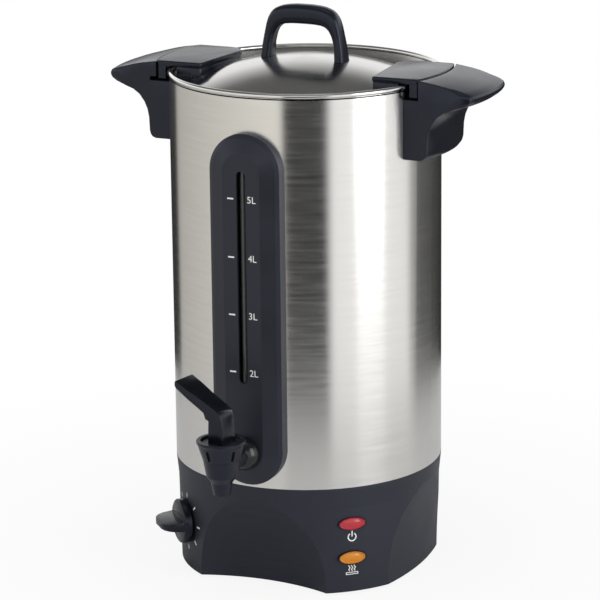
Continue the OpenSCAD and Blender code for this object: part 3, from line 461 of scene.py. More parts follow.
# the sheath went brown with heat, and its oxide is dull
element_sheath = moulded_plastic("oxidised_heater_sheath", "4a4540", 0.5, 0.8, 0.4)
small_finishes = (soft_rubber, pale_ceramic, turned_brass, cast_aluminium, element_sheath)
print("small finishes:", [m.name for m in small_finishes])

# %% [markdown]
# **Glass, acrylic and ink.** The sight tube is clear glass over a dark slot: little light comes
# back through it, so most of what shows is gloss. Full transmission would be truer, but it comes
# out mottled here. The lenses are tinted acrylic over small lamps: the colour is deep, a clear coat
# shines over it, and a little light comes from behind.

# %% Glass, ink and lenses
LENS_GLOW = 0.1
# the tube shows as one bright line of gloss on the dark slot
clear_glass = finish_of("clear_sight_glass", "4a5050", 0.06,
                        **{"Transmission Weight": 0.35, "IOR": 1.47, "Coat Weight": 0.5})[0]
# white enamel ink dries with a soft sheen
print_white = finish_of("white_pad_print", "f7f7f5", 0.45)[0]


def lens_plastic(name, colour):
    """Tinted acrylic with a faint lamp behind it: a deep colour under a glassy coat."""
    return finish_of(name, colour, 0.16,
                     **{"IOR": 1.49, "Coat Weight": 0.4, "Emission Color": linear(colour),
                        "Emission Strength": LENS_GLOW})[0]


red_lens = lens_plastic("red_acrylic_lens", "b32733")
amber_lens = lens_plastic("amber_acrylic_lens", "d08218")
print("clear and printed:", [m.name for m in (clear_glass, print_white, red_lens, amber_lens)])

# %% [markdown]
# The solids of the frame keep their meshes and only change their finish. Forty single lines would
# do as well, but a table of finishes and names is easier to check, and the print at its end shows
# at once if a solid was forgotten.

# %% Give each solid its finish
FINISHES = {
    base_plastic: ["base_shell", "base_plate", "thermostat_knob", "lamp_bezels", "cord_gland",
                   "gland_nut"],
    panel_plastic: ["gauge_panel"],
    grip_plastic: ["handle_left", "handle_right", "wing_left", "wing_right", "lid_handle"],
    tap_plastic: ["tap_body", "tap_collar", "tap_bearing", "tap_lever"],
    soft_rubber: ["rubber_feet", "tube_seals", "tap_washers", "tap_seat", "lid_gasket"],
    tank_steel: ["tank"],
    dome_steel: ["lid_dome"],
    wire_steel: ["base_screws", "heater_clamp", "tap_nut", "tap_stem", "tap_spring", "lever_pin",
                 "handle_screws", "lid_screws"],
    cast_aluminium: ["heater_plate"],
    element_sheath: ["heating_element"],
    pale_ceramic: ["thermostat_body", "thermal_cutout", "terminal_block", "lamp_holders"],
    turned_brass: ["thermostat_spindle"],
    clear_glass: ["sight_tube"],
    red_lens: ["lamp_red"],
    amber_lens: ["lamp_amber"],
}
for finish, names in FINISHES.items():
    for name in names:
        slots = nodes[name].data.materials
        slots.clear()
        slots.append(finish)
given = {name for names in FINISHES.values() for name in names}
print("finishes:", len(FINISHES), "solids without one:", sorted(set(nodes) - given))

# %% [markdown]
# The solids keep their exact edges, which is right for hidden pieces. The pieces that the hand and
# the eye meet are made again below, with soft edges. Each one is drawn in millimetres, in the
# frame's own place, and only turned to metres at the end, so the numbers read like a drawing. Most
# of them are lofts: closed loops of edges, set one behind the other and bridged.


# %% Loops and lofts
def arc(turn_deg, x, y):
    """Turns a plan point that was drawn at the front to a compass direction round the tank."""
    a = math.radians(turn_deg)
    return (x * math.cos(a) - y * math.sin(a), x * math.sin(a) + y * math.cos(a))


def ring_of(bm, points):
    """A closed loop of edges through the points."""
    verts = [bm.verts.new(p) for p in points]
    return [bm.edges.new((verts[i], verts[(i + 1) % len(verts)])) for i in range(len(verts))]


def loft(bm, rings, cap_start=True, cap_end=True):
    """Bridges a row of loops and closes the ends."""
    loops = [ring_of(bm, ring) for ring in rings]
    for near, far in zip(loops, loops[1:]):
        bmesh.ops.bridge_loops(bm, edges=near + far)
    if cap_start:
        bmesh.ops.edgeloop_fill(bm, edges=loops[0])
    if cap_end:
        bmesh.ops.edgeloop_fill(bm, edges=loops[-1])
    return loops


# %% [markdown]
# Two steps end every piece. A bevel rounds the edges that turn sharply, as a mould does; the angle
# picks them, so no edge has to be chosen by hand. Then the mesh is turned to metres, shaded smooth
# up to a given angle, the solids it stands for are hidden, and it is hung on the body it rides on.

# %% Soft edges and the last step
MERGE, FINE_MERGE = 0.005, 0.002   # points nearer than this are one; the fine one is the last


def soften(bm, width, steps, least_angle):
    """Rounds the edges that turn by more than the angle, and gives their number."""
    bmesh.ops.remove_doubles(bm, verts=bm.verts, dist=MERGE)
    bmesh.ops.recalc_face_normals(bm, faces=bm.faces)
    sharp = [e for e in bm.edges if len(e.link_faces) == 2
             and e.calc_face_angle(0.0) > math.radians(least_angle)]
    bmesh.ops.bevel(bm, geom=sharp, offset=width, segments=steps, profile=0.5, affect="EDGES",
                    material=-1, clamp_overlap=True)
    return len(sharp)


def finished(name, bm, finish, body, *stands_for, smooth_angle):
    """Writes the mesh in metres, shades it smooth between its sharp edges and lets it ride."""
    bmesh.ops.remove_doubles(bm, verts=bm.verts, dist=FINE_MERGE)
    bmesh.ops.recalc_face_normals(bm, faces=bm.faces)
    bmesh.ops.scale(bm, vec=(MM, MM, MM), verts=bm.verts)
    mesh = bpy.data.meshes.new(name)
    bm.to_mesh(mesh)
    bm.free()
    mesh.shade_smooth()
    mesh.set_sharp_from_angle(angle=math.radians(smooth_angle))
    mesh.materials.append(finish)
    obj = bpy.data.objects.new(name, mesh)
    bpy.context.scene.collection.objects.link(obj)
    if stands_for:
        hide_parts(*stands_for)
    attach(obj, body)
    print(name, "faces", len(mesh.polygons))
    return obj


# %% [markdown]
# **Side handles.** Each is one moulding: a foot screwed to the tank, a curved web and a flat grip
# with rounded corners, and a channel that the lid's wing turns into. A block could be carved, but
# the shape is a section carried round the tank, so it is lofted: the same section is set at
# stations across the width, bent to the tank's round, and the loops are bridged. Half of the
# stations have one step more, the undercut of the channel.

# %% Section of the side handles
RIM_Z = 342.0
HANDLE_Z0, HANDLE_TOP = 292.8, RIM_Z + 3.4
HANDLE_IN, HANDLE_REACH = TANK_R + 0.05, 134.4
CHANNEL_R, CHANNEL_Z0 = 100.3, RIM_Z - 9.6
TOP_EDGE = 0.6            # chamfer between the top and the channel
UNDERCUT_DEPTH, UNDERCUT_H = 4.4, 2.6
# radius and height over the handle's lowest point, from the foot under the grip to the channel
UNDER_AND_TOP = [
    (HANDLE_IN, 0), (96, 0), (101.5, 0), (103.8, 0.8), (105.2, 2.6), (105.8, 5), (106.0, 9.5),
    (106.2, 14), (107.2, 19.5), (109.4, 24.8), (112.8, 29.6), (117.2, 33.2), (122.2, 35.4),
    (126.8, 37.4), (130.3, 39.2), (133, 41.4), (134.2, 43.4), (134.4, 45.0), (133.6, 46.6),
    (131.4, 47.6), (127.8, 48.4), (123.1, 49.2), (117.5, 50.1), (111.5, 51), (106, 51.8),
    (CHANNEL_R + TOP_EDGE, HANDLE_TOP - HANDLE_Z0),
    (CHANNEL_R, HANDLE_TOP - TOP_EDGE - HANDLE_Z0),
    (CHANNEL_R, CHANNEL_Z0 + UNDERCUT_H - HANDLE_Z0),
]
UNDERCUT = [(CHANNEL_R + UNDERCUT_DEPTH, CHANNEL_Z0 + UNDERCUT_H - HANDLE_Z0),
            (CHANNEL_R + UNDERCUT_DEPTH, CHANNEL_Z0 - HANDLE_Z0)]
CHANNEL_FLOOR = [(CHANNEL_R, CHANNEL_Z0 - HANDLE_Z0), (HANDLE_IN, CHANNEL_Z0 - HANDLE_Z0)]
print("handle section:", len(UNDER_AND_TOP + CHANNEL_FLOOR), "points")

# %% [markdown]
# Two things happen to the section on its way. The grip leans down a little towards its tip, more
# and more the further out it goes. And the plan's outer corners are round, so near the sides of the
# handle the part beyond a root radius is squeezed until its tip meets the corner's circle.

# %% Loops of the side handles
HANDLE_HW, HANDLE_CORNER, TIP_SLACK = 33.0, 11.0, 0.6
SQUEEZE_FROM = 121.0
LEAN, LEAN_FROM, LEAN_POWER = 2.6, 110.0, 1.3


def leaned(r, h):
    """Height of a point of the grip after it leans down towards its tip."""
    out = max(0.0, (r - LEAN_FROM) / (HANDLE_REACH - LEAN_FROM))
    return h - LEAN * out ** LEAN_POWER


def handle_ring(side, x, with_undercut):
    """The section at a distance x from the handle's middle, bent to the tank's round."""
    over = max(0.0, abs(x) - (HANDLE_HW - HANDLE_CORNER))
    limit = HANDLE_REACH + TIP_SLACK - HANDLE_CORNER + math.sqrt(HANDLE_CORNER ** 2 - over ** 2)
    tip = math.sqrt(HANDLE_REACH ** 2 - x * x)
    root = math.sqrt(SQUEEZE_FROM ** 2 - x * x)
    shrink = min(1.0, (limit - root) / (tip - root))
    ring = []
    for r, h in UNDER_AND_TOP + (UNDERCUT if with_undercut else []) + CHANNEL_FLOOR:
        y = math.sqrt(r * r - x * x)
        if y > root:
            y = root + (y - root) * shrink
        px, py = arc(side, x, -y)
        ring.append((px, py, HANDLE_Z0 + leaned(r, h)))
    return ring


# %% [markdown]
# The stations stand closer together near the sides of the handle, so that its round corners stay
# smooth. The loft runs in two parts, a plain one and one with the undercut. The step between them
# is closed too: it is the end wall that the lid's tab meets when it has turned in.

# %% Side handles
UNDERCUT_FROM = 15.0
CORNER_STATIONS = [22, 25.5, 28.5, 31, HANDLE_HW]
PLAIN_STATIONS = [-x for x in reversed(CORNER_STATIONS)] + [-17, -12, -6, 0, 6, 11, UNDERCUT_FROM]
UNDERCUT_STATIONS = [UNDERCUT_FROM, 18] + CORNER_STATIONS


def side_handle(name, side, node):
    """Both lofts of a handle, joined where the undercut begins, with soft edges."""
    bm = bmesh.new()
    loft(bm, [handle_ring(side, x, False) for x in PLAIN_STATIONS], cap_end=False)
    loft(bm, [handle_ring(side, x, True) for x in UNDERCUT_STATIONS], cap_start=False)
    bmesh.ops.remove_doubles(bm, verts=bm.verts, dist=2 * MERGE)
    step = [e for e in bm.edges if len(e.link_faces) == 1]
    bmesh.ops.contextual_create(bm, geom=step)
    rounded = soften(bm, width=0.55, steps=3, least_angle=42)
    left_open = sum(len(e.link_faces) == 1 for e in bm.edges)
    print(name, "edges rounded:", rounded, "open edges:", left_open)
    finished(name, bm, grip_plastic, "urn", node, smooth_angle=32)


side_handle("left_side_handle", -90, "handle_left")
side_handle("right_side_handle", 90, "handle_right")

# %% [markdown]
# **Lock wings.** A wing is a flat plate over the rim, with a skirt that comes down on the dome and
# a tab outside the rim that turns into the handle's channel. Its plan is drawn once as a loop, with
# one inner corner round and the other cut short. A cube could be shaped by hand, but the outer edge
# has to follow the tank, so the plan's arcs are worked out from their radii.

# %% Plan of a lock wing
WING_R, WING_HW, WING_IN, WING_CORNER = 99.5, 32.0, 57.5, 13.0
SHORT_CORNER = [(1.6, 4.2), (0.0, 5.6)]


def arc_across(radius, half_width, way):
    """Points along an arc round the tank's axis, from one side of the wing to the other."""
    half_angle = math.asin(half_width / radius)
    turns = [math.radians(-90) + way * (i / 10 - 1) * half_angle for i in range(21)]
    return [(radius * math.cos(t), radius * math.sin(t)) for t in turns]


def wing_outline(side, flip, inset, reach, inner=None):
    """Plan of a wing, or of the band between two radii where an inner one is given."""
    hw = WING_HW - inset
    near = WING_IN + inset
    line = arc_across(reach, hw, 1)
    if inner is None:
        for i in range(9):
            t = math.radians(90 * i / 8)
            line.append((hw - WING_CORNER + WING_CORNER * math.cos(t),
                         -near - WING_CORNER + WING_CORNER * math.sin(t)))
        line += [(-hw + x, -near - y) for x, y in SHORT_CORNER]
    else:
        line += arc_across(inner, hw, -1)
    return [arc(side, flip * x, y) for x, y in line]


print("wing plan:", len(wing_outline(0, 1, 0, WING_R)), "points")

# %% [markdown]
# A filled outline that is extruded gives a plate, and a bevel gives it moulded edges. A curve with
# an extrude would do it too, but in a bmesh the next steps can go on from the same shape.


# %% Helpers for plates
def extruded(outline, step):
    """A closed outline filled and extruded by a step, as a bmesh of its own."""
    bm = bmesh.new()
    bmesh.ops.edgeloop_fill(bm, edges=ring_of(bm, outline))
    grown = bmesh.ops.extrude_face_region(bm, geom=bm.faces[:])
    moved = [g for g in grown["geom"] if isinstance(g, bmesh.types.BMVert)]
    bmesh.ops.translate(bm, vec=step, verts=moved)
    return bm


def slab(outline, low, high, width, steps):
    """A plate of the outline's shape between two heights, with rounded edges."""
    bm = extruded([(x, y, low) for x, y in outline], (0, 0, high - low))
    soften(bm, width, steps, least_angle=40)
    return bm


def joined(shells):
    """Several closed shells in one bmesh."""
    whole = bmesh.new()
    for bm in shells:
        temp = bpy.data.meshes.new("shell")
        bm.to_mesh(temp)
        bm.free()
        whole.from_mesh(temp)
        bpy.data.meshes.remove(temp)
    return whole


# %% [markdown]
# The skirt's lower edge lies on the dome, so its points are set to the dome's height, a hair above
# the sheet. Skirt and tab reach a little way up into the plate: closed shells that run into each
# other look like one moulding and spare a Boolean.

# %% Lock wings
WING_TOP, WING_LOW, SUNK = 346.0, 342.3, 0.8
SKIRT_R, SKIRT_Z0, SKIRT_INSET = 86.0, 330.0, 0.4
TAB_R0, TAB_Z0, TAB_INSET = 93.6, 333.6, 0.3
DOME_TOP, DOME_SPHERE, DOME_GAP = 350.0, 196.6, 0.06


def dome_height(x, y):
    """Height of the dome's outer face, which is part of a sphere."""
    return DOME_TOP - DOME_SPHERE + math.sqrt(DOME_SPHERE ** 2 - x * x - y * y)


def lock_wing(name, side, flip, node):
    """Plate, skirt and tab of a wing; flip mirrors the plan."""
    plate = slab(wing_outline(side, flip, 0, WING_R), WING_LOW, WING_TOP, width=1.0, steps=4)
    skirt = slab(wing_outline(side, flip, SKIRT_INSET, SKIRT_R), SKIRT_Z0, WING_LOW + SUNK,
                 width=0.2, steps=1)
    # the bevel moved the lower points a little, so all that are near the lower edge are meant
    for v in skirt.verts:
        if v.co.z < SKIRT_Z0 + 5:
            v.co.z = dome_height(v.co.x, v.co.y) + DOME_GAP
    tab = slab(wing_outline(side, flip, TAB_INSET, WING_R - TAB_INSET, TAB_R0), TAB_Z0,
               WING_LOW + SUNK, width=0.6, steps=3)
    finished(name, joined([plate, skirt, tab]), grip_plastic, "lid", node, smooth_angle=45)


lock_wing("left_lock_wing", -90, -1, "wing_left")
lock_wing("right_lock_wing", 90, 1, "wing_right")

# %% [markdown]
# **Lid handle.** An upright arch with a thick rounded section, like a bent bar that is wider at its
# feet. A curve with a bevel would keep one section all the way; a loft lets the section change, so
# rounded loops are set between the outer and the inner line of the arch and bridged.

# %% Lines of the lid handle
ARCH_TOP = RIM_Z + 42.7
ARCH_STATIONS = 44
# half of each line, as the distance from the middle and the depth below the top
OUTER = [(30.5, 37.2), (29.6, 29), (28.2, 21), (26.6, 13.5), (25, 8.6), (23, 5.4), (20.2, 3.1),
         (16, 1.4), (11, 0.5), (5, 0.05)]
INNER = [(23.05, 36.2), (22.6, 27), (20.8, 20.6), (19, 17.2), (16.6, 14.9), (13.4, 13.6),
         (8, 13.1), (3, 13.0)]


def along(line, steps):
    """Evenly spaced points on a line that is mirrored about the middle."""
    whole = [(-x, ARCH_TOP - d) for x, d in line] + [(x, ARCH_TOP - d) for x, d in reversed(line)]
    lengths = [0.0]
    for (x0, z0), (x1, z1) in zip(whole, whole[1:]):
        lengths.append(lengths[-1] + math.hypot(x1 - x0, z1 - z0))
    points = []
    for i in range(steps + 1):
        want = lengths[-1] * i / steps
        k = max(j for j in range(len(lengths) - 1) if lengths[j] <= want + 1e-9)
        f = (want - lengths[k]) / (lengths[k + 1] - lengths[k])
        (x0, z0), (x1, z1) = whole[k], whole[k + 1]
        points.append((x0 + f * (x1 - x0), z0 + f * (z1 - z0)))
    return points


stations = list(zip(along(OUTER, ARCH_STATIONS), along(INNER, ARCH_STATIONS)))
print("lid handle:", len(stations), "stations")

# %% Lid handle
RING_POINTS, SQUARENESS = 20, 0.6   # a power of 1 would give an ellipse, a small one a box
ARCH_HALF_DEPTH, FLARE, FLARE_FROM, FLARE_RUN = 5.6, 1.4, 22, 14


def round_power(v, power):
    """A power that keeps the sign, which makes a circle squarer."""
    return math.copysign(abs(v) ** power, v)


def arch_ring(ox, oz, ix, iz):
    """A rounded loop between a point of the outer line and one of the inner line."""
    middle_z = (oz + iz) / 2
    flare = min(1.0, max(0.0, (ARCH_TOP - FLARE_FROM - middle_z) / FLARE_RUN))
    half_y = ARCH_HALF_DEPTH + FLARE * flare
    ring = []
    for k in range(RING_POINTS):
        t = 2 * math.pi * k / RING_POINTS
        u, v = round_power(math.cos(t), SQUARENESS), round_power(math.sin(t), SQUARENESS)
        ring.append(((ox + ix) / 2 + u * (ox - ix) / 2, v * half_y,
                     middle_z + u * (oz - iz) / 2))
    return ring


rings = [arch_ring(*outer, *inner) for outer, inner in stations]
# the feet stand on the dome
for ring in (rings[0], rings[-1]):
    ring[:] = [(x, y, dome_height(x, y) + DOME_GAP) for x, y, z in ring]
bm = bmesh.new()
loft(bm, rings)
finished("lid_arch_handle", bm, grip_plastic, "lid", "lid_handle", smooth_angle=60)

# %% [markdown]
# **Tap lever.** The lever is a forked block over the valve stem with a paddle that widens to a
# round tip. Its side view is the shape that matters, so that outline is filled and extruded across
# the width. Cuts with bisect_plane add loops along the paddle, and each loop is scaled to the plan.

# %% Side view and plan of the lever
TAP_D, PIN_Z, PADDLE_TURN = 136.0, 131.0, 100.0
BLOCK_FRONT = 5.15
# distance from the stem's axis towards the tip, and height
LEVER_SIDE = [(-6.6, 120.6), (BLOCK_FRONT, 120.6), (4.65, 135.6), (6.95, 136.5), (8.35, 140.5),
              (29.9, 155.2), (31.0, 157.0), (29.2, 159.2), (-1.5, 143.2), (-3.6, 141.6),
              (-4.9, 139.2), (-5.6, 135.6)]
BLOCK_HW, PADDLE_HW, TIP_FROM, TIP_ROUND = 7.3, 9.35, 28.4, 2.6
LEVER_PLAN = [(-10, BLOCK_HW), (BLOCK_FRONT, BLOCK_HW), (12, 7.9), (20, 9.1),
              (TIP_FROM, PADDLE_HW)]
PADDLE_CUTS = (12, 16, 20, 24, TIP_FROM, 29.6, 30.4)


def lever_half_width(s):
    """Half the width of the lever at a distance s from the stem's axis."""
    if s > TIP_FROM:
        return PADDLE_HW - TIP_ROUND + math.sqrt(max(0.0, TIP_ROUND ** 2 - (s - TIP_FROM) ** 2))
    for (s0, w0), (s1, w1) in zip(LEVER_PLAN, LEVER_PLAN[1:]):
        if s <= s1:
            return w0 + (w1 - w0) * (s - s0) / (s1 - s0)


def across(outline, half):
    """A side outline filled and extruded across the width."""
    bm = extruded([(-half, -s, h) for s, h in outline], (2 * half, 0, 0))
    bmesh.ops.recalc_face_normals(bm, faces=bm.faces)
    return bm


print("paddle widths:", [round(2 * lever_half_width(s), 1) for s in PADDLE_CUTS])

# %% [markdown]
# The two upright edges at the back of the block have a wide round and the others a small one, so
# the bevel runs twice. The finished lever is turned to the paddle's direction and moved onto the
# tap, because a piece is drawn where it is at rest.

# %% Tap lever
BACK_ROUND = 2.2
BACK_Y, BLOCK_TOP, UPRIGHT = 3.0, 140, 3   # the back edges lie beyond, below and are longer


def turn_about_z(bm, turn_deg):
    """Turns a shape about the upright axis through the origin."""
    bmesh.ops.rotate(bm, cent=(0, 0, 0), matrix=Matrix.Rotation(math.radians(turn_deg), 3, "Z"),
                     verts=bm.verts)


def to_tap(bm, turn_deg):
    """Turns a shape that was drawn at the origin and moves it onto the tap."""
    turn_about_z(bm, turn_deg)
    bmesh.ops.translate(bm, vec=(0, -TAP_D, 0), verts=bm.verts)


def cut_plane(bm, place, normal, **ways):
    """Cuts all of a shape with a plane."""
    return bmesh.ops.bisect_plane(bm, geom=bm.verts[:] + bm.edges[:] + bm.faces[:],
                                  plane_co=place, plane_no=normal, **ways)


bm = across(LEVER_SIDE, BLOCK_HW)
for s in PADDLE_CUTS:
    cut_plane(bm, (0, -s, 0), (0, 1, 0))
for v in bm.verts:
    v.co.x *= lever_half_width(-v.co.y) / BLOCK_HW
back = [e for e in bm.edges if all(v.co.y > BACK_Y and v.co.z < BLOCK_TOP for v in e.verts)
        and abs(e.verts[0].co.z - e.verts[1].co.z) > UPRIGHT]
bmesh.ops.bevel(bm, geom=back, offset=BACK_ROUND, segments=4, profile=0.5, affect="EDGES",
                material=-1, clamp_overlap=True)
soften(bm, width=0.6, steps=3, least_angle=34)
to_tap(bm, -PADDLE_TURN)
lever = finished("tap_paddle_lever", bm, lever_plastic, "tap_handle", "tap_lever",
                 smooth_angle=35)

# %% [markdown]
# The lever straddles the stem and turns on a pin, so a slot and a bore are cut out of it. Inset
# faces could be pushed through, but the bore crosses rounded faces, and a Boolean is the plain way
# there: each cutter is a shape of its own, taken away once and then removed.

# %% Slot and pin bore of the lever
FORK_R, FORK_HW, FORK_Z0 = 3.75, 3.4, 118.6
FORK_MOUTH, FORK_MOUTH_Z = 9.15, 127
PIN_BORE_R, PIN_BORE_L = 1.56, 13.1


def cut_out(obj, cutter):
    """Takes the cutter's shape out of the piece, then throws the cutter away."""
    saw = obj.modifiers.new("cut", "BOOLEAN")
    saw.object, saw.operation, saw.solver = cutter, "DIFFERENCE", "EXACT"
    graph = bpy.context.evaluated_depsgraph_get()
    cut = bpy.data.meshes.new_from_object(obj.evaluated_get(graph))
    obj.modifiers.clear()
    obj.data = cut
    bpy.data.objects.remove(cutter)
    print(obj.name, "faces after the cut", len(cut.polygons))


eye = [(FORK_R * math.cos(math.radians(a)), PIN_Z + FORK_R * math.sin(math.radians(a)))
       for a in range(0, 181, 15)]
fork = across([(-FORK_R, FORK_Z0), (FORK_MOUTH, FORK_Z0), (FORK_MOUTH, FORK_MOUTH_Z)] + eye,
              FORK_HW)
pin_bore = bmesh.new()
lying = Matrix.Translation((0, 0, PIN_Z)) @ Matrix.Rotation(math.radians(90), 4, "Y")
bmesh.ops.create_cone(pin_bore, cap_ends=True, segments=32, radius1=PIN_BORE_R,
                      radius2=PIN_BORE_R, depth=PIN_BORE_L, matrix=lying)
for shape in (fork, pin_bore):
    to_tap(shape, -PADDLE_TURN)
    bmesh.ops.scale(shape, vec=(MM, MM, MM), verts=shape.verts)
    blank = bpy.data.meshes.new("cutter")
    shape.to_mesh(blank)
    shape.free()
    tool = bpy.data.objects.new("cutter", blank)
    bpy.context.scene.collection.objects.link(tool)
    cut_out(lever, tool)

# %% [markdown]
# **Thermostat knob.** A disc with an upright grip bar. The disc is its section spun round the
# knob's axis. The bar is a second turned shape, a dome, with both sides sliced off by slanting
# planes: that gives its rounded ends and its flat cheeks in one go. It is drawn at the front and
# turned to its corner of the base at the end.

# %% Sections of the knob
KNOB_TURN, KNOB_Z, KNOB_BACK = -45.0, 35.0, 89.81
KNOB_R, KNOB_T, KNOB_REACH = 15.25, 5.8, 14.0
# radius and depth out from the knob's back
DISC = [(0, 0), (KNOB_R - 0.5, 0), (KNOB_R, 0.5), (KNOB_R, KNOB_T - 1.3),
        (KNOB_R - 0.4, KNOB_T - 0.5), (KNOB_R - 1.3, KNOB_T), (0, KNOB_T)]
DOMED_BAR = [(0, KNOB_T - 1), (KNOB_R - 1.2, KNOB_T - 1), (KNOB_R - 1.3, KNOB_T + 7),
             (KNOB_R - 2.8, KNOB_T + 10.6), (KNOB_R - 5.6, KNOB_T + 13),
             (KNOB_R - 9, KNOB_T + KNOB_REACH), (0, KNOB_T + KNOB_REACH)]


def turned(profile, back, height, steps, closed=False):
    """Spins a section of (radius, depth) pairs round a level axis, drawn at the front."""
    bm = bmesh.new()
    verts = [bm.verts.new((r, -(back + d), height)) for r, d in profile]
    ends = verts[1:] + (verts[:1] if closed else [])
    edges = [bm.edges.new(pair) for pair in zip(verts, ends)]
    bmesh.ops.spin(bm, geom=verts + edges, cent=(0, 0, height), axis=(0, 1, 0),
                   angle=2 * math.pi, steps=steps, use_merge=True)
    bmesh.ops.remove_doubles(bm, verts=bm.verts, dist=MERGE)
    bmesh.ops.recalc_face_normals(bm, faces=bm.faces)
    return bm


disc = turned(DISC, KNOB_BACK, KNOB_Z, 64)
bar = turned(DOMED_BAR, KNOB_BACK, KNOB_Z, 64)
print("knob sections spun:", len(disc.faces), "and", len(bar.faces), "faces")

# %% Thermostat knob
BAR_T, BAR_SLANT = 7.2, 0.12
for way in (1, -1):
    sliced = cut_plane(bar, (0, -KNOB_BACK - KNOB_T, KNOB_Z + way * BAR_T / 2),
                       Vector((0, -BAR_SLANT, way)).normalized(), clear_outer=True)
    cheek = [g for g in sliced["geom_cut"] if isinstance(g, bmesh.types.BMEdge)]
    bmesh.ops.edgeloop_fill(bar, edges=cheek)
soften(bar, width=1.1, steps=4, least_angle=40)
knob = joined([disc, bar])
turn_about_z(knob, KNOB_TURN)
finished("thermostat_grip_knob", knob, lever_plastic, "knob", "thermostat_knob", smooth_angle=35)

# %% [markdown]
# **Lamp lenses.** Each lamp is an oval of tinted acrylic: a raised rim that catches the light and a
# low crowned middle, in a bezel of its own. A scaled sphere would give the crown but not the rim,
# so oval loops at several sizes and depths are bridged from the back to the crown. The bezel's
# last loop is bridged to its first, which closes it to a ring.

# %% Lamp lenses and bezels
LAMP_TURN, FOOT_R = 43.0, 88.7
OVAL_RATIO, OVAL_STEPS = 0.46, 48
# width of each oval and its depth out from the foot's radius
LENS = [(18.2, -3.0), (18.2, 1.3), (17.8, 1.8), (17.2, 2.0), (16.5, 1.9), (16.0, 1.4),
        (15.0, 1.35), (11.0, 1.75), (6.0, 2.0), (2.0, 2.1)]
BEZEL = [(20.0, -0.6), (20.0, 1.2), (19.7, 1.6), (19.1, 1.7), (18.5, 1.5), (18.4, -3.0),
         (19.2, -3.0)]
LAMPS = [("power_lamp_lens", "lamp_red", 50.3, red_lens),
         ("heat_lamp_lens", "lamp_amber", 26.4, amber_lens)]


def oval(width, depth, z):
    """An upright oval loop at the lamps' place on the base."""
    ring = []
    for k in range(OVAL_STEPS):
        t = 2 * math.pi * k / OVAL_STEPS
        px, py = arc(LAMP_TURN, width / 2 * math.cos(t), -(FOOT_R + depth))
        ring.append((px, py, z + OVAL_RATIO * width / 2 * math.sin(t)))
    return ring


bezels = bmesh.new()
for name, node, z, lens in LAMPS:
    bm = bmesh.new()
    loft(bm, [oval(w, d, z) for w, d in LENS])
    finished(name, bm, lens, "urn", node, smooth_angle=50)
    loops = loft(bezels, [oval(w, d, z) for w, d in BEZEL], cap_start=False, cap_end=False)
    bmesh.ops.bridge_loops(bezels, edges=loops[0] + loops[-1])
finished("lamp_bezel_rings", bezels, tap_plastic, "urn", "lamp_bezels", smooth_angle=50)

# %% [markdown]
# **Print.** The litre scale, the two symbols and the knob's ticks are pad printed: a white ink film
# a few hundredths of a millimetre thick. An image on the panel would blur close up, so the ink is a
# thin mesh. Words are drawn as text and made a mesh; strokes are flat cubes.

# %% Print helpers
INK = 0.07


def bar_of_ink(bm, x, y, width, height, turn_deg=0.0):
    """A thin flat bar centred at (x, y), drawn in a plane with its thickness along z."""
    place = Matrix.Translation((x, y, INK / 2)) @ Matrix.Rotation(math.radians(turn_deg), 4, "Z")
    bmesh.ops.create_cube(bm, size=1.0, matrix=place @ Matrix.Diagonal((width, height, INK, 1)))


def words_of_ink(text, height, width):
    """Text as a mesh of the given height and width, its lower left corner at the origin."""
    curve = bpy.data.curves.new("label", "FONT")
    curve.body = text
    curve.extrude = INK / 2
    holder = bpy.data.objects.new("label", curve)
    bpy.context.scene.collection.objects.link(holder)
    graph = bpy.context.evaluated_depsgraph_get()
    bm = bmesh.new()
    bm.from_mesh(bpy.data.meshes.new_from_object(holder.evaluated_get(graph)))
    bpy.data.objects.remove(holder)
    low = [min(v.co[i] for v in bm.verts) for i in range(2)]
    high = [max(v.co[i] for v in bm.verts) for i in range(2)]
    bmesh.ops.translate(bm, vec=(-low[0], -low[1], INK / 2), verts=bm.verts)
    bmesh.ops.scale(bm, vec=(width / (high[0] - low[0]), height / (high[1] - low[1]), 1.0),
                    verts=bm.verts)
    return bm


# %% [markdown]
# **Litre scale.** Beside the sight tube stand four marks, each a dash on the left and its word on
# the right. They are drawn flat, as on paper, and the sheet is then stood upright on the panel's
# face: its y becomes the height.

# %% Litre scale on the panel
PANEL_FACE = 101.3
LITRE_Z = {2: 157.7, 3: 196.3, 4: 234.9, 5: 273.8}
WORD_X, WORD_W, WORD_H = 4.6, 6.0, 4.4
DASH_X, DASH_W, DASH_H = -7.5, 4.4, 1.0

marks = []
for litres, z in LITRE_Z.items():
    bm = words_of_ink(str(litres) + "L", WORD_H, WORD_W)
    bmesh.ops.translate(bm, vec=(WORD_X, z - WORD_H / 2, 0), verts=bm.verts)
    bar_of_ink(bm, DASH_X, z, DASH_W, DASH_H)
    marks.append(bm)
scale_print = joined(marks)
for v in scale_print.verts:
    v.co = Vector((v.co.x, -PANEL_FACE - v.co.z, v.co.y))
finished("litre_scale_print", scale_print, print_white, "urn", smooth_angle=30)

# %% [markdown]
# **Symbols.** Each lamp has its sign under it. The upper one is power, a ring with a gap and a
# stroke in it; the lower one is heat, three wavy lines over a flat plate. The ring is one short bar
# whose end face is spun round; the rest are bars. The base is a cone, so the flat drawing is bent
# round it point by point.

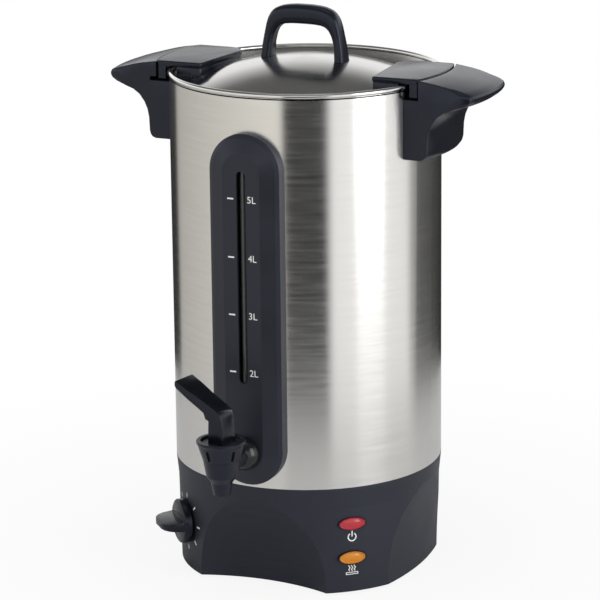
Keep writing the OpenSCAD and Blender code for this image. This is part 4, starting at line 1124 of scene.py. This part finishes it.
# %% Symbols on the base
FOOT_Z, CONE_RUN = 2.0, 59.0   # the base gains a millimetre of radius in this height
INK_GAP = 0.03
SIGN_R, SIGN_STROKE, SIGN_Z = 2.75, 0.85, 40.8
SIGN_FROM, SIGN_SWEEP = 125, 290
STEM_Y, STEM_H = 2.3, 4.0
WAVE_X, WAVE_Z, WAVE_STEP = 1.9, 17.4, 1.35
WAVE_W, WAVE_L, WAVE_SHIFT, WAVE_LEAN = 0.6, 1.75, 0.2, 28
PLATE_W, PLATE_LINE, PLATE_Z, PLATE_HALF = 8.6, 0.5, 15.05, 0.65
PLATE_END_X, PLATE_END_H = 4.1, 1.7


def on_base(bm, turn_deg):
    """Bends a flat print round the base: x becomes distance round it, y its height."""
    for v in bm.verts:
        r = FOOT_R + (v.co.y - FOOT_Z) / CONE_RUN
        a = math.radians(turn_deg) + v.co.x / r
        out = r + INK_GAP + v.co.z
        v.co = Vector((math.sin(a) * out, -math.cos(a) * out, v.co.y))


bm = bmesh.new()
bar_of_ink(bm, SIGN_R, 0, SIGN_STROKE, 0.25)
turn_about_z(bm, SIGN_FROM)
ahead = Matrix.Rotation(math.radians(SIGN_FROM + 90), 3, "Z") @ Vector((1, 0, 0))
end_faces = [f for f in bm.faces if abs(f.normal.dot(ahead)) > 0.9]
bmesh.ops.spin(bm, geom=end_faces[:1], cent=(0, 0, 0), axis=(0, 0, 1),
               angle=math.radians(SIGN_SWEEP), steps=30)
bar_of_ink(bm, 0, STEM_Y, SIGN_STROKE, STEM_H)
bmesh.ops.translate(bm, vec=(0, SIGN_Z, 0), verts=bm.verts)
for i in (-1, 0, 1):
    for k, way in enumerate((1, -1, 1)):
        bar_of_ink(bm, i * WAVE_X - way * WAVE_SHIFT, WAVE_Z + WAVE_STEP * k, WAVE_W, WAVE_L,
                   way * WAVE_LEAN)
for way in (1, -1):
    bar_of_ink(bm, 0, PLATE_Z + way * PLATE_HALF, PLATE_W, PLATE_LINE)
    bar_of_ink(bm, way * PLATE_END_X, PLATE_Z, PLATE_LINE, PLATE_END_H)
on_base(bm, LAMP_TURN)
finished("symbol_print", bm, print_white, "urn", smooth_angle=30)

# %% [markdown]
# **Ticks.** Seven short strokes stand round the knob, from below it, up its right side and over the
# top to its left, and show how far it is turned. They are drawn round the knob's centre on a flat
# sheet and bent round the base in the same way.

# %% Ticks round the knob
TICKS, TICK_FROM, TICK_STEP = 7, -84, 42
TICK_R, TICK_L, TICK_W = 18.6, 3.4, 1.1
bm = bmesh.new()
for k in range(TICKS):
    a = math.radians(TICK_FROM + TICK_STEP * k)
    bar_of_ink(bm, TICK_R * math.cos(a), KNOB_Z + TICK_R * math.sin(a), TICK_L, TICK_W,
               math.degrees(a))
on_base(bm, KNOB_TURN)
finished("knob_tick_print", bm, print_white, "urn", smooth_angle=30)

# %% [markdown]
# **Tap boss.** The shank leaves the panel through a glossy black dome, which hides the hole and the
# washer. It is a closed section spun round the shank, so that the shank's bore stays open. Its
# plastic is polished like a piano key and mirrors the room in small sharp lights.

# %% Tap boss
SHANK_Z = 102.5
gloss_black = moulded_plastic("polished_black_plastic", "141518", 0.14, 0.6, 0.03)
# radius and depth out from the panel's face
BOSS = [(11.3, 0.06), (11.3, 1.9), (10.9, 4.1), (9.9, 6.3), (8.4, 8.2), (6.6, 9.6), (6.06, 9.9),
        (6.06, 0.06)]
finished("tap_boss_dome", turned(BOSS, PANEL_FACE, SHANK_Z, 48, closed=True), gloss_black, "urn",
         smooth_angle=50)

# %% [markdown]
# ** Collar slots.** The collar has short upright slots for a spanner. Cutting them would be the
# usual way, but they are so narrow that only their darkness shows, so each is painted shade: a dark
# capsule laid into the collar's slope, a small sphere, flattened and pulled long. Its near black
# matt finish throws almost nothing back and stands in for the shade inside a deep slot.

# %% Collar slots
SLOTS, FIRST_SLOT = 5, -12
SLOT_HW, SLOT_HALF_DEPTH, SLOT_END, SLOT_STRETCH = 0.95, 0.4, 0.75, 3.0
SLOT_R, SLOT_Z = 13.85, 113.8
COLLAR_SLOPE = math.atan2(3.45, 10.6)   # the collar widens by 3.45 mm in 10.6 mm of height
# painted shade: a near black matt finish, almost without gloss, for the inside of the slots
slot_shadow = moulded_plastic("painted_slot_shade", "040405", 0.85, 0.6, 0.03,
                              **{"Specular IOR Level": 0.1})

capsules = []
for i in range(SLOTS):
    bm = bmesh.new()
    bmesh.ops.create_uvsphere(bm, u_segments=12, v_segments=10, radius=1.0)
    for v in bm.verts:
        pull = math.copysign(SLOT_STRETCH, v.co.z) * min(1.0, abs(v.co.z) * 4)
        v.co = Vector((v.co.x * SLOT_HW, v.co.y * SLOT_HALF_DEPTH, v.co.z * SLOT_END + pull))
    bmesh.ops.rotate(bm, cent=(0, 0, 0), matrix=Matrix.Rotation(COLLAR_SLOPE, 3, "X"),
                     verts=bm.verts)
    bmesh.ops.translate(bm, vec=(0, -SLOT_R, SLOT_Z), verts=bm.verts)
    to_tap(bm, FIRST_SLOT + 360 / SLOTS * i)
    capsules.append(bm)
# the capsules are painted shade, set where the slots are in shadow
finished("collar_slot_shade", joined(capsules), slot_shadow, "urn", smooth_angle=60)
